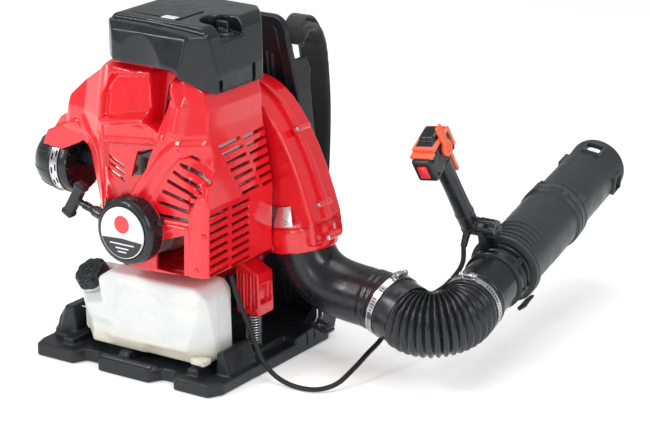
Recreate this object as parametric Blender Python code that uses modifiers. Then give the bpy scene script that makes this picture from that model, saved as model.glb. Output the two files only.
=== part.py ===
"""Backpack leaf blower: two-stroke engine, fan housing, flexible hose, tube, handle and harness.

Metres, +Z up. The origin is the centre of the base's underside. +X is the wearer's right,
+Y points to the wearer's back, and the engine faces -Y.
"""
import math

import bmesh
import bpy
from mathutils import Matrix, Vector

# ---- driving dimensions (metres) ----
GAP = 0.0003
WALL = 0.0035
BASE_HALF = 0.172
BASE_FRONT = -0.173
BASE_BACK = 0.150
DECK_Z = 0.022
CRANK_X = 0.026
CRANK_Z = 0.240
SHROUD_FRONT = -0.165
SHROUD_BACK = 0.004
FAN_FRONT = 0.0125
FAN_BACK = 0.0925
IMPELLER_R = 0.096
SCROLL_MIN_R = 0.114
SCROLL_MAX_R = 0.198
COLLAR_LONG = 0.046
LEAN = math.radians(6.6)
PLATE_Y = 0.1545
PLATE_Z = 0.006
PLATE_TOP = 0.520
PLATE_THICK = 0.014
OUTLET_TILT = math.radians(10)
OUTLET = Vector((0.1783, 0.055, 0.178))
OUTLET_DIR = Vector((math.sin(OUTLET_TILT), 0, -math.cos(OUTLET_TILT)))
COLLAR_R = 0.052
ELBOW_R = 0.046
ELBOW_END = Vector((0.347, 0.055, 0.108))
ELBOW_DIR = Vector((0.94, -0.20, -0.24)).normalized()
HOSE_R = 0.0415
HOSE_CUFF = 0.021
HOSE_HANDLE = 0.0375
TUBE_DIR = Vector((-0.09, 0.98, 0.17)).normalized()
TUBE_MARK = Vector((0.430, 0.165, 0.120))
HOSE_STOP = -0.058
HOSE_END = TUBE_MARK + TUBE_DIR * HOSE_STOP
SWIVEL_R = 0.0435
TUBE_R = 0.050
END_R = 0.0475
HANDLE_PIVOT = Vector((0.398, 0.2125, 0.204))
GRIP_FOOT = Vector((0.3790, 0.211, 0.203))
GRIP_DIR = Vector((-0.124, -0.475, 0.871)).normalized()
GRIP_R = 0.0148
GRIP_LONG = 0.137
AIR_CLEANER = Vector((-0.156, -0.072, 0.290))
CAP_SEAT = Vector((-0.090, -0.112, 0.118))
CAP_DIR = Vector((-0.15, -0.55, 0.82)).normalized()
PULL_DIR = Vector((-0.95, 0, 0.30)).normalized()
CABLE_R = 0.004
X, Y, Z = Vector((1, 0, 0)), Vector((0, 1, 0)), Vector((0, 0, 1))

COLOURS = {
    "red_shell": ((0.80, 0.020, 0.035), 0.30, 0.0),
    "black_shell": ((0.022, 0.024, 0.027), 0.42, 0.0),
    "frame_black": ((0.030, 0.032, 0.035), 0.55, 0.0),
    "tube_grey": ((0.075, 0.078, 0.082), 0.50, 0.0),
    "hose_black": ((0.018, 0.018, 0.020), 0.48, 0.0),
    "tank_white": ((0.80, 0.80, 0.76), 0.40, 0.0),
    "alloy": ((0.60, 0.61, 0.62), 0.38, 1.0),
    "steel": ((0.62, 0.62, 0.63), 0.28, 1.0),
    "signal_orange": ((0.85, 0.13, 0.03), 0.40, 0.0),
    "badge_white": ((0.75, 0.76, 0.77), 0.30, 0.0),
    "fuel_yellow": ((0.75, 0.58, 0.05), 0.40, 0.0),
    "webbing": ((0.020, 0.020, 0.022), 0.90, 0.0),
    "soft_pad": ((0.026, 0.026, 0.028), 0.95, 0.0),
    "cord_black": ((0.015, 0.015, 0.016), 0.60, 0.0),
}


# ---- general tools ----
def clear_scene():
    for item in list(bpy.data.objects):
        bpy.data.objects.remove(item, do_unlink=True)


def parts_collection():
    found = bpy.data.collections.get("backpack_leaf_blower")
    if found is None:
        found = bpy.data.collections.new("backpack_leaf_blower")
        bpy.context.scene.collection.children.link(found)
    return found


def material(name):
    found = bpy.data.materials.get(name)
    if found is None:
        colour, roughness, metallic = COLOURS[name]
        found = bpy.data.materials.new(name)
        found.use_nodes = True
        shader = found.node_tree.nodes["Principled BSDF"]
        shader.inputs["Base Color"].default_value = (*colour, 1.0)
        shader.inputs["Roughness"].default_value = roughness
        shader.inputs["Metallic"].default_value = metallic
        found.diffuse_color = (*colour, 1.0)
    return found


def link(name, mesh, matrix=None):
    item = bpy.data.objects.new(name, mesh)
    parts_collection().objects.link(item)
    if matrix is not None:
        item.matrix_world = matrix
    return item


def bake(item):
    """Replace an object by its evaluated mesh in world space, with loose caps welded."""
    bpy.context.view_layer.update()
    graph = bpy.context.evaluated_depsgraph_get()
    mesh = bpy.data.meshes.new_from_object(item.evaluated_get(graph))
    mesh.transform(item.matrix_world)
    if item.matrix_world.is_negative:
        mesh.flip_normals()
    welded = bmesh.new()
    welded.from_mesh(mesh)
    bmesh.ops.remove_doubles(welded, verts=welded.verts, dist=0.00002)
    bmesh.ops.recalc_face_normals(welded, faces=welded.faces)
    welded.to_mesh(mesh)
    welded.free()
    name = item.name
    bpy.data.objects.remove(item, do_unlink=True)
    return link(name, mesh)


def combine(target, others, operation):
    """Apply one EXACT Boolean after another and remove the other operands."""
    for other in others:
        step = target.modifiers.new(operation.lower(), "BOOLEAN")
        step.operation = operation
        step.object = other
        step.solver = "EXACT"
        target = bake(target)
        bpy.data.objects.remove(other, do_unlink=True)
    return target


def cut(target, *others):
    return combine(target, others, "DIFFERENCE")


def join(target, *others):
    return combine(target, others, "UNION")


def keep(target, *others):
    return combine(target, others, "INTERSECT")


def bevel(item, width, segments=2, angle=35):
    step = item.modifiers.new("bevel", "BEVEL")
    step.width = width
    step.segments = segments
    step.limit_method = "ANGLE"
    step.angle_limit = math.radians(angle)
    return bake(item)


def finish(item, name, colour, smooth=35):
    item.name = name
    item.data.name = name
    item.data.materials.clear()
    item.data.materials.append(material(colour))
    item.data.shade_smooth()
    item.data.set_sharp_from_angle(angle=math.radians(smooth))
    return item


def set_origin(item, point):
    """Move an object's origin to its joint axis and keep the mesh where it is."""
    item.data.transform(Matrix.Translation(-Vector(point)))
    item.location = Vector(point)
    return item


def placed(point, direction, roll=Z):
    """A frame at point whose local +Z is the direction and local +Y is near roll."""
    along = Vector(direction).normalized()
    side = Vector(roll).cross(along)
    if side.length < 0.001:
        side = Y.cross(along)
        if side.length < 0.001:
            side = X.copy()
    side.normalize()
    up = along.cross(side)
    turn = Matrix((side, up, along)).transposed().to_4x4()
    return Matrix.Translation(Vector(point)) @ turn


def box(size, centre, direction=Z, roll=Y):
    shape = bmesh.new()
    bmesh.ops.create_cube(shape, size=1.0)
    bmesh.ops.scale(shape, vec=size, verts=shape.verts)
    mesh = bpy.data.meshes.new("box")
    shape.to_mesh(mesh)
    shape.free()
    return bake(link("box", mesh, placed(centre, direction, roll)))


def cylinder(radius, start, end, sides=32, end_radius=None):
    start, end = Vector(start), Vector(end)
    shape = bmesh.new()
    far = radius if end_radius is None else end_radius
    bmesh.ops.create_cone(shape, cap_ends=True, segments=sides, radius1=radius,
                          radius2=far, depth=(end - start).length)
    mesh = bpy.data.meshes.new("cylinder")
    shape.to_mesh(mesh)
    shape.free()
    return bake(link("cylinder", mesh, placed((start + end) / 2, end - start)))


def turned(profile, point=(0, 0, 0), direction=Z, sides=32, closed=False):
    """Turn (radius, height) pairs about the direction through the point."""
    mesh = bpy.data.meshes.new("turned")
    edges = [(i, i + 1) for i in range(len(profile) - 1)]
    if closed:
        edges.append((len(profile) - 1, 0))
    mesh.from_pydata([(r, 0, h) for r, h in profile], edges, [])
    item = link("turned", mesh, placed(point, direction))
    step = item.modifiers.new("screw", "SCREW")
    step.steps = sides
    step.render_steps = sides
    step.use_merge_vertices = True
    step.merge_threshold = 0.00005
    return bake(item)


def ring(inner, outer, start, end, sides=28):
    """A plain tube between two points."""
    start, end = Vector(start), Vector(end)
    long = (end - start).length
    profile = [(outer, long), (outer, 0), (inner, 0), (inner, long)]
    return turned(profile, start, end - start, sides, closed=True)


def outline_solid(points, low, high, plane="XZ"):
    """A flat outline as a filled 2D curve, given thickness between two offsets."""
    curve = bpy.data.curves.new("outline", "CURVE")
    curve.dimensions = "2D"
    curve.fill_mode = "BOTH"
    curve.extrude = (high - low) / 2
    line = curve.splines.new("POLY")
    line.points.add(len(points) - 1)
    for slot, (a, b) in zip(line.points, points):
        slot.co = (a, b, 0, 1)
    line.use_cyclic_u = True
    middle = (high + low) / 2
    frames = {
        "XZ": Matrix(((1, 0, 0, 0), (0, 0, -1, middle), (0, 1, 0, 0), (0, 0, 0, 1))),
        "XY": Matrix(((1, 0, 0, 0), (0, 1, 0, 0), (0, 0, 1, middle), (0, 0, 0, 1))),
        "YZ": Matrix(((0, 0, 1, middle), (1, 0, 0, 0), (0, 1, 0, 0), (0, 0, 0, 1))),
    }
    return bake(link("outline", curve, frames[plane]))


def inset(points, distance):
    """Move each side of a closed outline inwards by a distance."""
    count = len(points)
    area = sum(points[i][0] * points[(i + 1) % count][1]
               - points[(i + 1) % count][0] * points[i][1] for i in range(count))
    turn = 1 if area > 0 else -1
    moved = []
    for i, point in enumerate(points):
        before = Vector(points[i - 1])
        here = Vector(point)
        after = Vector(points[(i + 1) % count])
        first = (here - before).normalized()
        second = (after - here).normalized()
        normal_a = Vector((-first.y, first.x)) * turn
        normal_b = Vector((-second.y, second.x)) * turn
        middle = (normal_a + normal_b).normalized()
        reach = distance / max(0.35, middle.dot(normal_a))
        moved.append(tuple(here + middle * reach))
    return moved


def arc(centre, radius, start, end, count):
    """Points on an arc, in degrees."""
    turns = [math.radians(start + (end - start) * i / (count - 1)) for i in range(count)]
    return [(centre[0] + radius * math.cos(t), centre[1] + radius * math.sin(t)) for t in turns]


def bezier(points, t):
    a, b, c, d = points
    s = 1 - t
    return a * s ** 3 + b * (3 * s * s * t) + c * (3 * s * t * t) + d * t ** 3


def smooth_route(points, spacing):
    """Points at an even spacing on a Catmull-Rom curve through the route's own points."""
    pts = [Vector(p) for p in points]
    pts = [pts[0] * 2 - pts[1]] + pts + [pts[-1] * 2 - pts[-2]]
    fine = []
    for i in range(1, len(pts) - 2):
        p0, p1, p2, p3 = pts[i - 1:i + 3]
        for k in range(20):
            t = k / 20
            fine.append(0.5 * (2 * p1 + (p2 - p0) * t + (2 * p0 - 5 * p1 + 4 * p2 - p3) * t * t
                               + (3 * p1 - p0 - 3 * p2 + p3) * t ** 3))
    fine.append(pts[-2])
    total = sum((b - a).length for a, b in zip(fine, fine[1:]))
    count = max(2, round(total / spacing))
    wanted = [total * i / count for i in range(count + 1)]
    result, walked, k = [fine[0]], 0.0, 0
    for target in wanted[1:-1]:
        while walked + (fine[k + 1] - fine[k]).length < target:
            walked += (fine[k + 1] - fine[k]).length
            k += 1
        step = fine[k + 1] - fine[k]
        result.append(fine[k] + step * ((target - walked) / step.length))
    result.append(fine[-1])
    return result


def swept(points, radius, resolution=2, caps=True):
    """A POLY curve with a round bevel."""
    curve = bpy.data.curves.new("swept", "CURVE")
    curve.dimensions = "3D"
    curve.bevel_depth = radius
    curve.bevel_resolution = resolution
    curve.use_fill_caps = caps
    line = curve.splines.new("POLY")
    line.points.add(len(points) - 1)
    for slot, point in zip(line.points, points):
        slot.co = (*point, 1)
    return bake(link("swept", curve))


def swept_pipe(points, radius, wall, resolution=8):
    """A hollow pipe: an open sweep made solid inwards."""
    item = swept(points, radius, resolution, caps=False)
    step = item.modifiers.new("wall", "SOLIDIFY")
    step.thickness = wall
    step.offset = -1
    return bake(item)


# ---- base and back frame ----
def base_outline():
    half, front = BASE_HALF, BASE_FRONT
    return [(-half, -0.150), (-0.165, front), (-0.094, front), (-0.084, -0.152), (-0.056, -0.152),
            (-0.046, front), (0.050, front), (0.062, -0.152), (0.086, -0.152), (0.096, front),
            (0.160, front), (half, -0.150), (0.174, 0.060), (0.174, BASE_BACK - 0.020),
            (0.160, BASE_BACK), (-0.160, BASE_BACK), (-0.174, BASE_BACK - 0.020), (-0.174, 0.060)]


def make_base_tray():
    """Stepped floor tray with three front feet and side cheeks that carry the back plate."""
    tray = bevel(outline_solid(base_outline(), 0, DECK_Z, "XY"), 0.004, 1)
    deck = outline_solid([(-0.150, -0.060), (0.150, -0.060), (0.150, 0.1495), (-0.150, 0.1495)],
                         DECK_Z - 0.002, 0.030, "XY")
    tray = join(tray, deck)
    for x in (-0.118, -0.010, 0.118):
        tray = join(tray, box((0.020, 0.090, 0.014), (x, -0.110, 0.026)))
    cheek = [(0.040, 0.010), (BASE_BACK - 0.002, 0.010), (0.166, 0.060), (0.164, 0.128),
             (0.150, 0.130), (0.130, 0.066), (0.090, 0.036), (0.040, 0.030)]
    for side in (-1, 1):
        low, high = sorted((side * 0.151, side * 0.173))
        tray = join(tray, outline_solid(cheek, low, high, "YZ"))
    return finish(tray, "base_tray", "frame_black")


def lean(item):
    """Tilt a piece built upright so that it leans forwards with the back plate."""
    pivot = Matrix.Translation((0, PLATE_Y, PLATE_Z))
    item.matrix_world = pivot @ Matrix.Rotation(LEAN, 4, "X") @ pivot.inverted()
    return bake(item)


def make_back_frame():
    """Back plate with a carry slot at the top and air slots behind the fan."""
    side = [(0.147, PLATE_Z), (0.149, 0.110), (0.146, 0.250), (0.130, 0.400), (0.116, 0.490)]
    top = arc((0.090, PLATE_TOP - 0.026), 0.026, 0, 90, 4)
    right = side + top
    points = right + [(-x, z) for x, z in reversed(right)]
    plate = outline_solid(points, PLATE_Y, PLATE_Y + PLATE_THICK)
    plate = bevel(plate, 0.003, 1)
    plate = cut(plate, box((0.110, 0.060, 0.030), (0, PLATE_Y, PLATE_TOP - 0.034)))
    for row in range(5):
        height = 0.175 + 0.030 * row
        plate = cut(plate, box((0.120, 0.060, 0.012), (CRANK_X, PLATE_Y, height)))
    return finish(lean(plate), "back_frame", "frame_black")


def make_back_pad():
    pad = box((0.140, 0.022, 0.330), (0, PLATE_Y + PLATE_THICK + GAP + 0.011, 0.265))
    return finish(lean(bevel(pad, 0.008, 2)), "back_pad", "soft_pad")


def make_shoulder_strap(side, name):
    """Padded strap over the shoulder, from the top of the plate down to its foot."""
    route = [(0.122, 0.468), (0.142, 0.491), (0.170, 0.486), (0.190, 0.445), (0.200, 0.370),
             (0.199, 0.290), (0.192, 0.215), (0.181, 0.155), (0.168, 0.118)]
    half = 0.0065
    front, back = [], []
    for i, point in enumerate(route):
        before = Vector(route[max(i - 1, 0)])
        after = Vector(route[min(i + 1, len(route) - 1)])
        run = (after - before).normalized()
        normal = Vector((-run.y, run.x))
        front.append(tuple(Vector(point) + normal * half))
        back.append(tuple(Vector(point) - normal * half))
    low, high = sorted((side * 0.077, side * 0.133))
    strap = outline_solid(front + back[::-1], low, high, "YZ")
    return finish(bevel(strap, 0.003, 1), name, "soft_pad")


def make_strap_buckle():
    """Black clip on the right cheek that holds the lower end of the harness strap."""
    slope = Vector((0.35, 0, 0.94))
    plate = box((0.034, 0.024, 0.006), (0.1910, 0.085, 0.040), slope, Y)
    plate = cut(plate, box((0.016, 0.014, 0.030), (0.1940, 0.085, 0.040), slope, Y))
    return finish(plate, "strap_buckle", "black_shell")


# ---- fuel system ----
def make_fuel_tank():
    outline = [(-0.112, 0.040), (-0.106, 0.0335), (0.132, 0.0335), (0.139, 0.044), (0.137, 0.148),
               (0.128, 0.157), (-0.040, 0.157), (-0.062, 0.140), (-0.108, 0.138), (-0.114, 0.126)]
    tank = bevel(outline_solid(outline, -0.152, -0.075), 0.008, 2)
    slope = box((0.110, 0.140, 0.080), CAP_SEAT + CAP_DIR * 0.040 + X * -0.020, CAP_DIR, Y)
    tank = cut(tank, slope)
    neck = cylinder(0.0215, CAP_SEAT - CAP_DIR * 0.006, CAP_SEAT + CAP_DIR * 0.010, 28)
    return finish(join(tank, neck), "fuel_tank", "tank_white")


def make_fuel_cap():
    """Eight-lobed screw cap on the slanted neck."""
    seat = CAP_SEAT + CAP_DIR * (0.010 + GAP)
    cap = turned([(0, 0.019), (0.020, 0.019), (0.0265, 0.014), (0.0275, 0), (0, 0)], seat, CAP_DIR, 32)
    frame = placed(seat, CAP_DIR)
    for i in range(8):
        turn = math.radians(45 * i)
        foot = frame @ Vector((0.0300 * math.cos(turn), 0.0300 * math.sin(turn), 0.002))
        cap = cut(cap, cylinder(0.0055, foot, foot + CAP_DIR * 0.030, 10))
    return set_origin(finish(cap, "fuel_cap", "black_shell"), seat)


FUEL_ROUTE = [(-0.020, -0.095, 0.1577), (-0.022, -0.097, 0.175), (-0.045, -0.108, 0.196),
              (-0.072, -0.108, 0.215), (-0.076, -0.095, 0.240), (-0.058, -0.075, 0.266),
              (-0.050, -0.066, 0.2825)]


def make_fuel_line():
    return finish(swept(smooth_route(FUEL_ROUTE, 0.008), 0.0026, 1), "fuel_line", "fuel_yellow")


# ---- engine ----
def at_crank(y):
    return Vector((CRANK_X, y, CRANK_Z))


def make_crankcase():
    case = turned([(0.050, 0.118), (0.054, 0.100), (0.054, 0.012), (0.046, 0), (0.0100, 0),
                   (0.0100, 0.118)], at_crank(-0.112), Y, 24, closed=True)
    return finish(case, "crankcase", "alloy")


def make_crankshaft():
    shaft = cylinder(0.0090, at_crank(-0.158), at_crank(0.076), 20)
    return set_origin(finish(shaft, "crankshaft", "steel"), at_crank(0))


def make_flywheel():
    wheel = turned([(0.0500, 0.030), (0.0500, 0.022), (0.0500, 0.014), (0.0093, 0.014),
                    (0.0093, 0.030)], at_crank(-0.147), Y, 28, closed=True)
    for i in range(6):
        turn = math.radians(60 * i)
        out = Vector((math.cos(turn), 0, math.sin(turn)))
        wheel = join(wheel, box((0.0025, 0.014, 0.028), at_crank(-0.1365) + out * 0.034, out, Y))
    return set_origin(finish(wheel, "flywheel", "alloy"), at_crank(0))


def make_impeller():
    """Back disc, hub and swept blades."""
    wheel = turned([(IMPELLER_R, 0.052), (IMPELLER_R, 0.048), (0.026, 0.046), (0.020, 0),
                    (0.0093, 0), (0.0093, 0.052)], at_crank(0.022), Y, 24, closed=True)
    for i in range(9):
        turn = math.radians(40 * i)
        out = Vector((math.cos(turn), 0, math.sin(turn)))
        across = Vector((-out.z, 0, out.x))
        lead = (out + across * 0.35).normalized()
        wheel = join(wheel, box((0.0028, 0.045, 0.062), at_crank(0.0495) + out * 0.055, lead, Y))
    return set_origin(finish(wheel, "impeller", "alloy"), at_crank(0))


def make_cylinder():
    """Vertical finned cylinder over the crankcase."""
    centre = Vector((CRANK_X, -0.058, 0.294 + 2 * GAP))
    barrel = cylinder(0.029, centre, centre + Z * 0.124, 16)
    for i in range(6):
        height = 0.012 + 0.0200 * i
        barrel = join(barrel, box((0.076, 0.078, 0.0030), centre + Z * height))
    return finish(barrel, "cylinder", "alloy")


def make_spark_plug():
    foot = Vector((CRANK_X, -0.058, 0.4192))
    plug = turned([(0, 0.030), (0.0050, 0.030), (0.0060, 0.014), (0.0095, 0.010), (0.0095, 0), (0, 0)],
                  foot, Z, 12)
    return finish(plug, "spark_plug", "steel")


def make_plug_cap():
    foot = Vector((CRANK_X, -0.058, 0.4495))
    cap = cylinder(0.0085, foot, foot + Z * 0.020, 14)
    cap = join(cap, cylinder(0.0070, foot + Z * 0.012, foot + Vector((0.020, -0.046, 0.004)), 14))
    return finish(cap, "plug_cap", "black_shell")


def make_muffler():
    body = bevel(box((0.062, 0.098, 0.112), (0.1105, -0.062, 0.318)), 0.010, 2)
    pipe = cylinder(0.012, (0.0655, -0.062, 0.330), (0.085, -0.062, 0.330), 16)
    return finish(join(body, pipe), "muffler", "steel")


PRIMER_SEAT = Vector((-0.0435, -0.0810, 0.297))
PRIMER_PRESS = 0.0045


def make_carburettor():
    body = bevel(box((0.050, 0.044, 0.042), (-0.0435, -0.062, 0.306)), 0.004, 1)
    throat = cylinder(0.014, (-0.085, -0.062, 0.306), (-0.0125, -0.062, 0.306), 16)
    well = cylinder(0.0092, PRIMER_SEAT + Y * PRIMER_PRESS, PRIMER_SEAT - Y * 0.010, 18)
    return finish(cut(join(body, throat), well), "carburettor", "alloy")


def make_primer_bulb():
    """Bulb that stands out of a well in the carburettor, with room to be pressed in."""
    bulb = turned([(0, 0.013), (0.005, 0.0115), (0.0085, 0.006), (0.0085, 0), (0, 0)],
                  PRIMER_SEAT, -Y, 16)
    return set_origin(finish(bulb, "primer_bulb", "fuel_yellow"), PRIMER_SEAT)


def make_choke_lever():
    """Small lever on the back of the air cleaner's throat."""
    pivot = Vector((-0.0900, -0.062, 0.3215))
    hub = cylinder(0.006, pivot, pivot - X * 0.005, 14)
    arm = box((0.004, 0.006, 0.024), pivot + Vector((-0.0025, 0, 0.011)))
    return set_origin(finish(join(hub, arm), "choke_lever", "black_shell"), pivot)


def make_air_cleaner_case():
    """Back of the air cleaner, with the throat that meets the carburettor's."""
    case = cylinder(0.048, AIR_CLEANER, AIR_CLEANER + X * 0.016, 32)
    throat = cylinder(0.019, (-0.150, -0.062, 0.302), (-0.0955, -0.062, 0.302), 20)
    return finish(join(case, throat), "air_cleaner_case", "black_shell")


def make_filter_band():
    band = ring(0.0100, 0.0495, AIR_CLEANER - X * (0.014 + GAP), AIR_CLEANER - X * GAP, 36)
    return finish(band, "filter_band", "steel")


def make_air_cleaner_cover():
    dome = [(0, 0.050), (0.020, 0.048), (0.036, 0.040), (0.046, 0.026), (0.050, 0.010), (0.050, 0), (0, 0)]
    cover = turned(dome, AIR_CLEANER - X * (0.014 + 2 * GAP), -X, 36)
    return finish(cover, "air_cleaner_cover", "black_shell")


# ---- red engine shroud and black top cover ----
SHROUD_FACE = [(-0.030, 0.486), (0.100, 0.486), (0.133, 0.455), (0.150, 0.425), (0.157, 0.385),
               (0.157, 0.183), (0.060, 0.176), (0.002, 0.178), (-0.046, 0.222), (-0.067, 0.272),
               (-0.089, 0.326), (-0.112, 0.341), (-0.150, 0.318), (-0.190, 0.320), (-0.188, 0.335),
               (-0.162, 0.366), (-0.142, 0.378), (-0.133, 0.408), (-0.103, 0.435), (-0.062, 0.460)]
SHROUD_TOP = [(-0.195, -0.092), (-0.150, -0.106), (-0.100, -0.114), (-0.058, -0.138),
              (-0.028, SHROUD_FRONT), (0.122, SHROUD_FRONT), (0.148, -0.152), (0.158, -0.130),
              (0.158, SHROUD_BACK),
              (-0.070, SHROUD_BACK), (-0.110, -0.030), (-0.195, -0.050)]


def shell(face, top, wall, back):
    """A shell whose front and top views are two outlines, open at the back."""
    zs = [z for _, z in face]
    ys = [y for _, y in top]
    outer = keep(outline_solid(face, min(ys) - 0.01, max(ys) + 0.01),
                 outline_solid(top, min(zs) - 0.01, max(zs) + 0.01, "XY"))
    outer = bevel(outer, 0.006, 2, 30)
    rear = max(ys) - wall - 0.001
    inner_top = [(x, y + back if y > rear else y) for x, y in inset(top, wall)]
    inner = keep(outline_solid(inset(face, wall), min(ys), max(ys) + back + 0.01),
                 outline_solid(inner_top, min(zs), max(zs), "XY"))
    return cut(outer, inner)


def slot(start, end, width, y=SHROUD_FRONT, deep=0.022):
    """A slot cutter in the front wall, between two (x, z) points."""
    a, b = Vector((start[0], y, start[1])), Vector((end[0], y, end[1]))
    return box((width, deep, (b - a).length), (a + b) / 2, b - a, Y)


RADIAL_CENTRE = Vector((0.248, 0.265))


def make_shroud():
    """Moulded engine cover with cooling slots, plug window and starter hole."""
    cover = shell(SHROUD_FACE, SHROUD_TOP, WALL, 0.03)
    cover = cut(cover, cylinder(0.047, at_crank(-0.20), at_crank(-0.14), 28))
    for i in range(7):
        turn = math.radians(180 - 6.2 * i)
        reach = Vector((math.cos(turn), math.sin(turn)))
        inner = RADIAL_CENTRE + reach * (0.126 - 0.0035 * i)
        outer = RADIAL_CENTRE + reach * (0.188 - 0.0045 * i)
        cover = cut(cover, slot(inner, outer, 0.0062))
    cover = cut(cover, slot((0.089, 0.184), (0.089, 0.224), 0.046))
    cover = cut(cover, slot((0.026, 0.322), (0.050, 0.358), 0.028))
    for lift in (0, 0.018):
        cover = cut(cover, slot((-0.032, 0.332 - lift), (-0.004, 0.318 - lift), 0.0060))
    cover = cut(cover, slot((0.060, 0.420), (0.064, 0.456), 0.020))
    cover = cut(cover, box((0.030, 0.098, 0.200), (0.157, -0.092, 0.286)))
    cover = cut(cover, cylinder(0.0512, AIR_CLEANER - X * 0.08, AIR_CLEANER + X * 0.100, 28))
    cover = cut(cover, cylinder(COLLAR_R + 0.002, OUTLET - OUTLET_DIR * 0.08,
                                OUTLET + OUTLET_DIR * 0.06, 28))
    return finish(cover, "shroud", "red_shell")


def make_side_louvre():
    """Slotted guard over the muffler, with two columns of slanted slots."""
    guard = box((0.0060, 0.0970, 0.1990), (0.1568, -0.092, 0.286))
    guard = bevel(guard, 0.0015, 1)
    for column in (-1, 1):
        for row in range(8):
            centre = Vector((0.157, -0.092 + column * 0.0225, 0.205 + 0.0230 * row))
            guard = cut(guard, box((0.030, 0.036, 0.0075), centre, Vector((0, -0.22, 1)), Y))
    return finish(guard, "side_louvre", "red_shell")


TOP_FACE = [(-0.048, 0.4865), (0.1005, 0.4865), (0.1335, 0.4555), (0.146, 0.4470), (0.149, 0.458),
            (0.146, 0.528), (0.128, 0.547), (-0.030, 0.550), (-0.050, 0.530)]
TOP_TOP = [(-0.052, -0.040), (-0.034, -0.138), (0.004, -0.166), (0.112, -0.166), (0.148, -0.118),
           (0.148, -0.006), (0.110, 0.036), (-0.020, 0.036)]


KNOB_SEAT = Vector((0.114, -0.060, 0.5230))


def make_top_cover():
    """Black cover over the engine, open underneath, with a recess for its knob."""
    zs = [z for _, z in TOP_FACE]
    outer = keep(outline_solid(TOP_FACE, -0.20, 0.06), outline_solid(TOP_TOP, 0.40, 0.60, "XY"))
    outer = bevel(outer, 0.008, 2, 30)
    hollow = keep(outline_solid(inset(TOP_FACE, 0.004), -0.20, 0.06),
                  outline_solid(inset(TOP_TOP, 0.004), 0.40, 0.60, "XY"))
    mouth = box((0.120, 0.120, 0.020), (0.030, -0.065, min(zs) + 0.040))
    hollow = join(hollow, mouth)
    cup = cylinder(0.0195, KNOB_SEAT - Z * 0.0040, KNOB_SEAT + Z * 0.060, 24)
    cover = cut(outer, cut(hollow, cup))
    cover = cut(cover, cylinder(0.0160, KNOB_SEAT, KNOB_SEAT + Z * 0.060, 24))
    return finish(cover, "top_cover", "black_shell")


def make_cover_knob():
    foot = KNOB_SEAT + Z * GAP
    knob = cylinder(0.0105, foot, foot + Z * 0.010, 20)
    knob = join(knob, box((0.020, 0.004, 0.012), foot + Z * 0.014))
    return set_origin(finish(knob, "cover_knob", "black_shell"), foot)


# ---- recoil starter ----
def make_starter_case():
    case = turned([(0, 0.0285), (0.048, 0.0285), (0.054, 0.026), (0.057, 0.018), (0.057, 0),
                   (0.050, 0), (0.050, 0.0240), (0, 0.0240)], at_crank(SHROUD_FRONT - GAP), -Y, 32)
    eyelet = cylinder(0.0085, at_crank(-0.181) + PULL_DIR * 0.052, at_crank(-0.181) + PULL_DIR * 0.066, 16)
    case = join(case, eyelet)
    rope_hole = cylinder(0.0030, at_crank(-0.181) + PULL_DIR * 0.040,
                         at_crank(-0.181) + PULL_DIR * 0.080, 12)
    return finish(cut(case, rope_hole), "starter_case", "black_shell")


def make_starter_badge():
    badge = turned([(0, 0.0020), (0.044, 0.0020), (0.0455, 0), (0, 0)],
                   at_crank(SHROUD_FRONT - 0.0285 - 2 * GAP), -Y, 32)
    return finish(badge, "starter_badge", "badge_white")


def make_starter_pulley():
    pulley = turned([(0, 0.012), (0.034, 0.012), (0.034, 0.009), (0.030, 0.007), (0.030, 0.005),
                     (0.034, 0.003), (0.034, 0), (0, 0)], at_crank(-0.1745), -Y, 28)
    return set_origin(finish(pulley, "starter_pulley", "tube_grey"), at_crank(-0.18))


def make_starter_grip():
    """T-shaped pull grip: a neck and a slanted bar."""
    foot = at_crank(-0.181) + PULL_DIR * 0.0670
    head = foot + PULL_DIR * 0.032
    bar = Vector((-0.50, 0, -0.85)).normalized()
    grip = cylinder(0.0060, foot, head, 14)
    grip = join(grip, bevel(box((0.017, 0.016, 0.062), head + PULL_DIR * 0.004, bar, Y), 0.005, 2))
    return set_origin(finish(grip, "starter_grip", "black_shell"), foot)


def make_starter_rope():
    start = at_crank(-0.181) + PULL_DIR * 0.0400
    rope = cylinder(0.0018, start, at_crank(-0.181) + PULL_DIR * 0.0667, 8)
    return finish(rope, "starter_rope", "webbing")


# ---- fan housing ----
def scroll_outline():
    """Scroll that grows clockwise, seen from the engine, then runs down into the collar.

    The last two points are the collar's own corners.
    """
    across = Vector((-OUTLET_DIR.z, OUTLET_DIR.x))
    top = Vector((OUTLET.x, OUTLET.z)) + Vector((-OUTLET_DIR.x, -OUTLET_DIR.z)) * COLLAR_LONG
    start, end, count = -38.0, -292.0, 21
    points = []
    for i in range(count):
        turn = start + (end - start) * i / (count - 1)
        radius = SCROLL_MIN_R + (SCROLL_MAX_R - SCROLL_MIN_R) * (turn - start) / (end - start)
        angle = math.radians(turn)
        points.append((CRANK_X + radius * math.cos(angle), CRANK_Z + radius * math.sin(angle)))
    run = (Vector(points[-1]), Vector((0.155, 0.404)), Vector((0.197, 0.310)), top + across * COLLAR_R)
    points += [tuple(bezier(run, i / 6)) for i in range(1, 7)]
    foot = Vector((OUTLET.x, OUTLET.z)) + Vector((-OUTLET_DIR.x, -OUTLET_DIR.z)) * 0.010
    return points + [tuple(foot + across * (COLLAR_R - 0.001)), tuple(foot - across * (COLLAR_R - 0.003))]


def fan_solid(grow, y_low, y_high, collar_radius, below):
    """The scroll and its round outlet as one closed body, grown by a wall or not."""
    scroll = outline_solid(inset(scroll_outline(), grow), y_low, y_high)
    neck = turned([(0, below), (collar_radius, below), (collar_radius, -COLLAR_LONG),
                   (collar_radius * 0.86, -COLLAR_LONG - 0.004),
                   (collar_radius * 0.62, -0.095), (0, -0.095)], OUTLET, OUTLET_DIR, 32)
    return join(scroll, neck)


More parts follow.
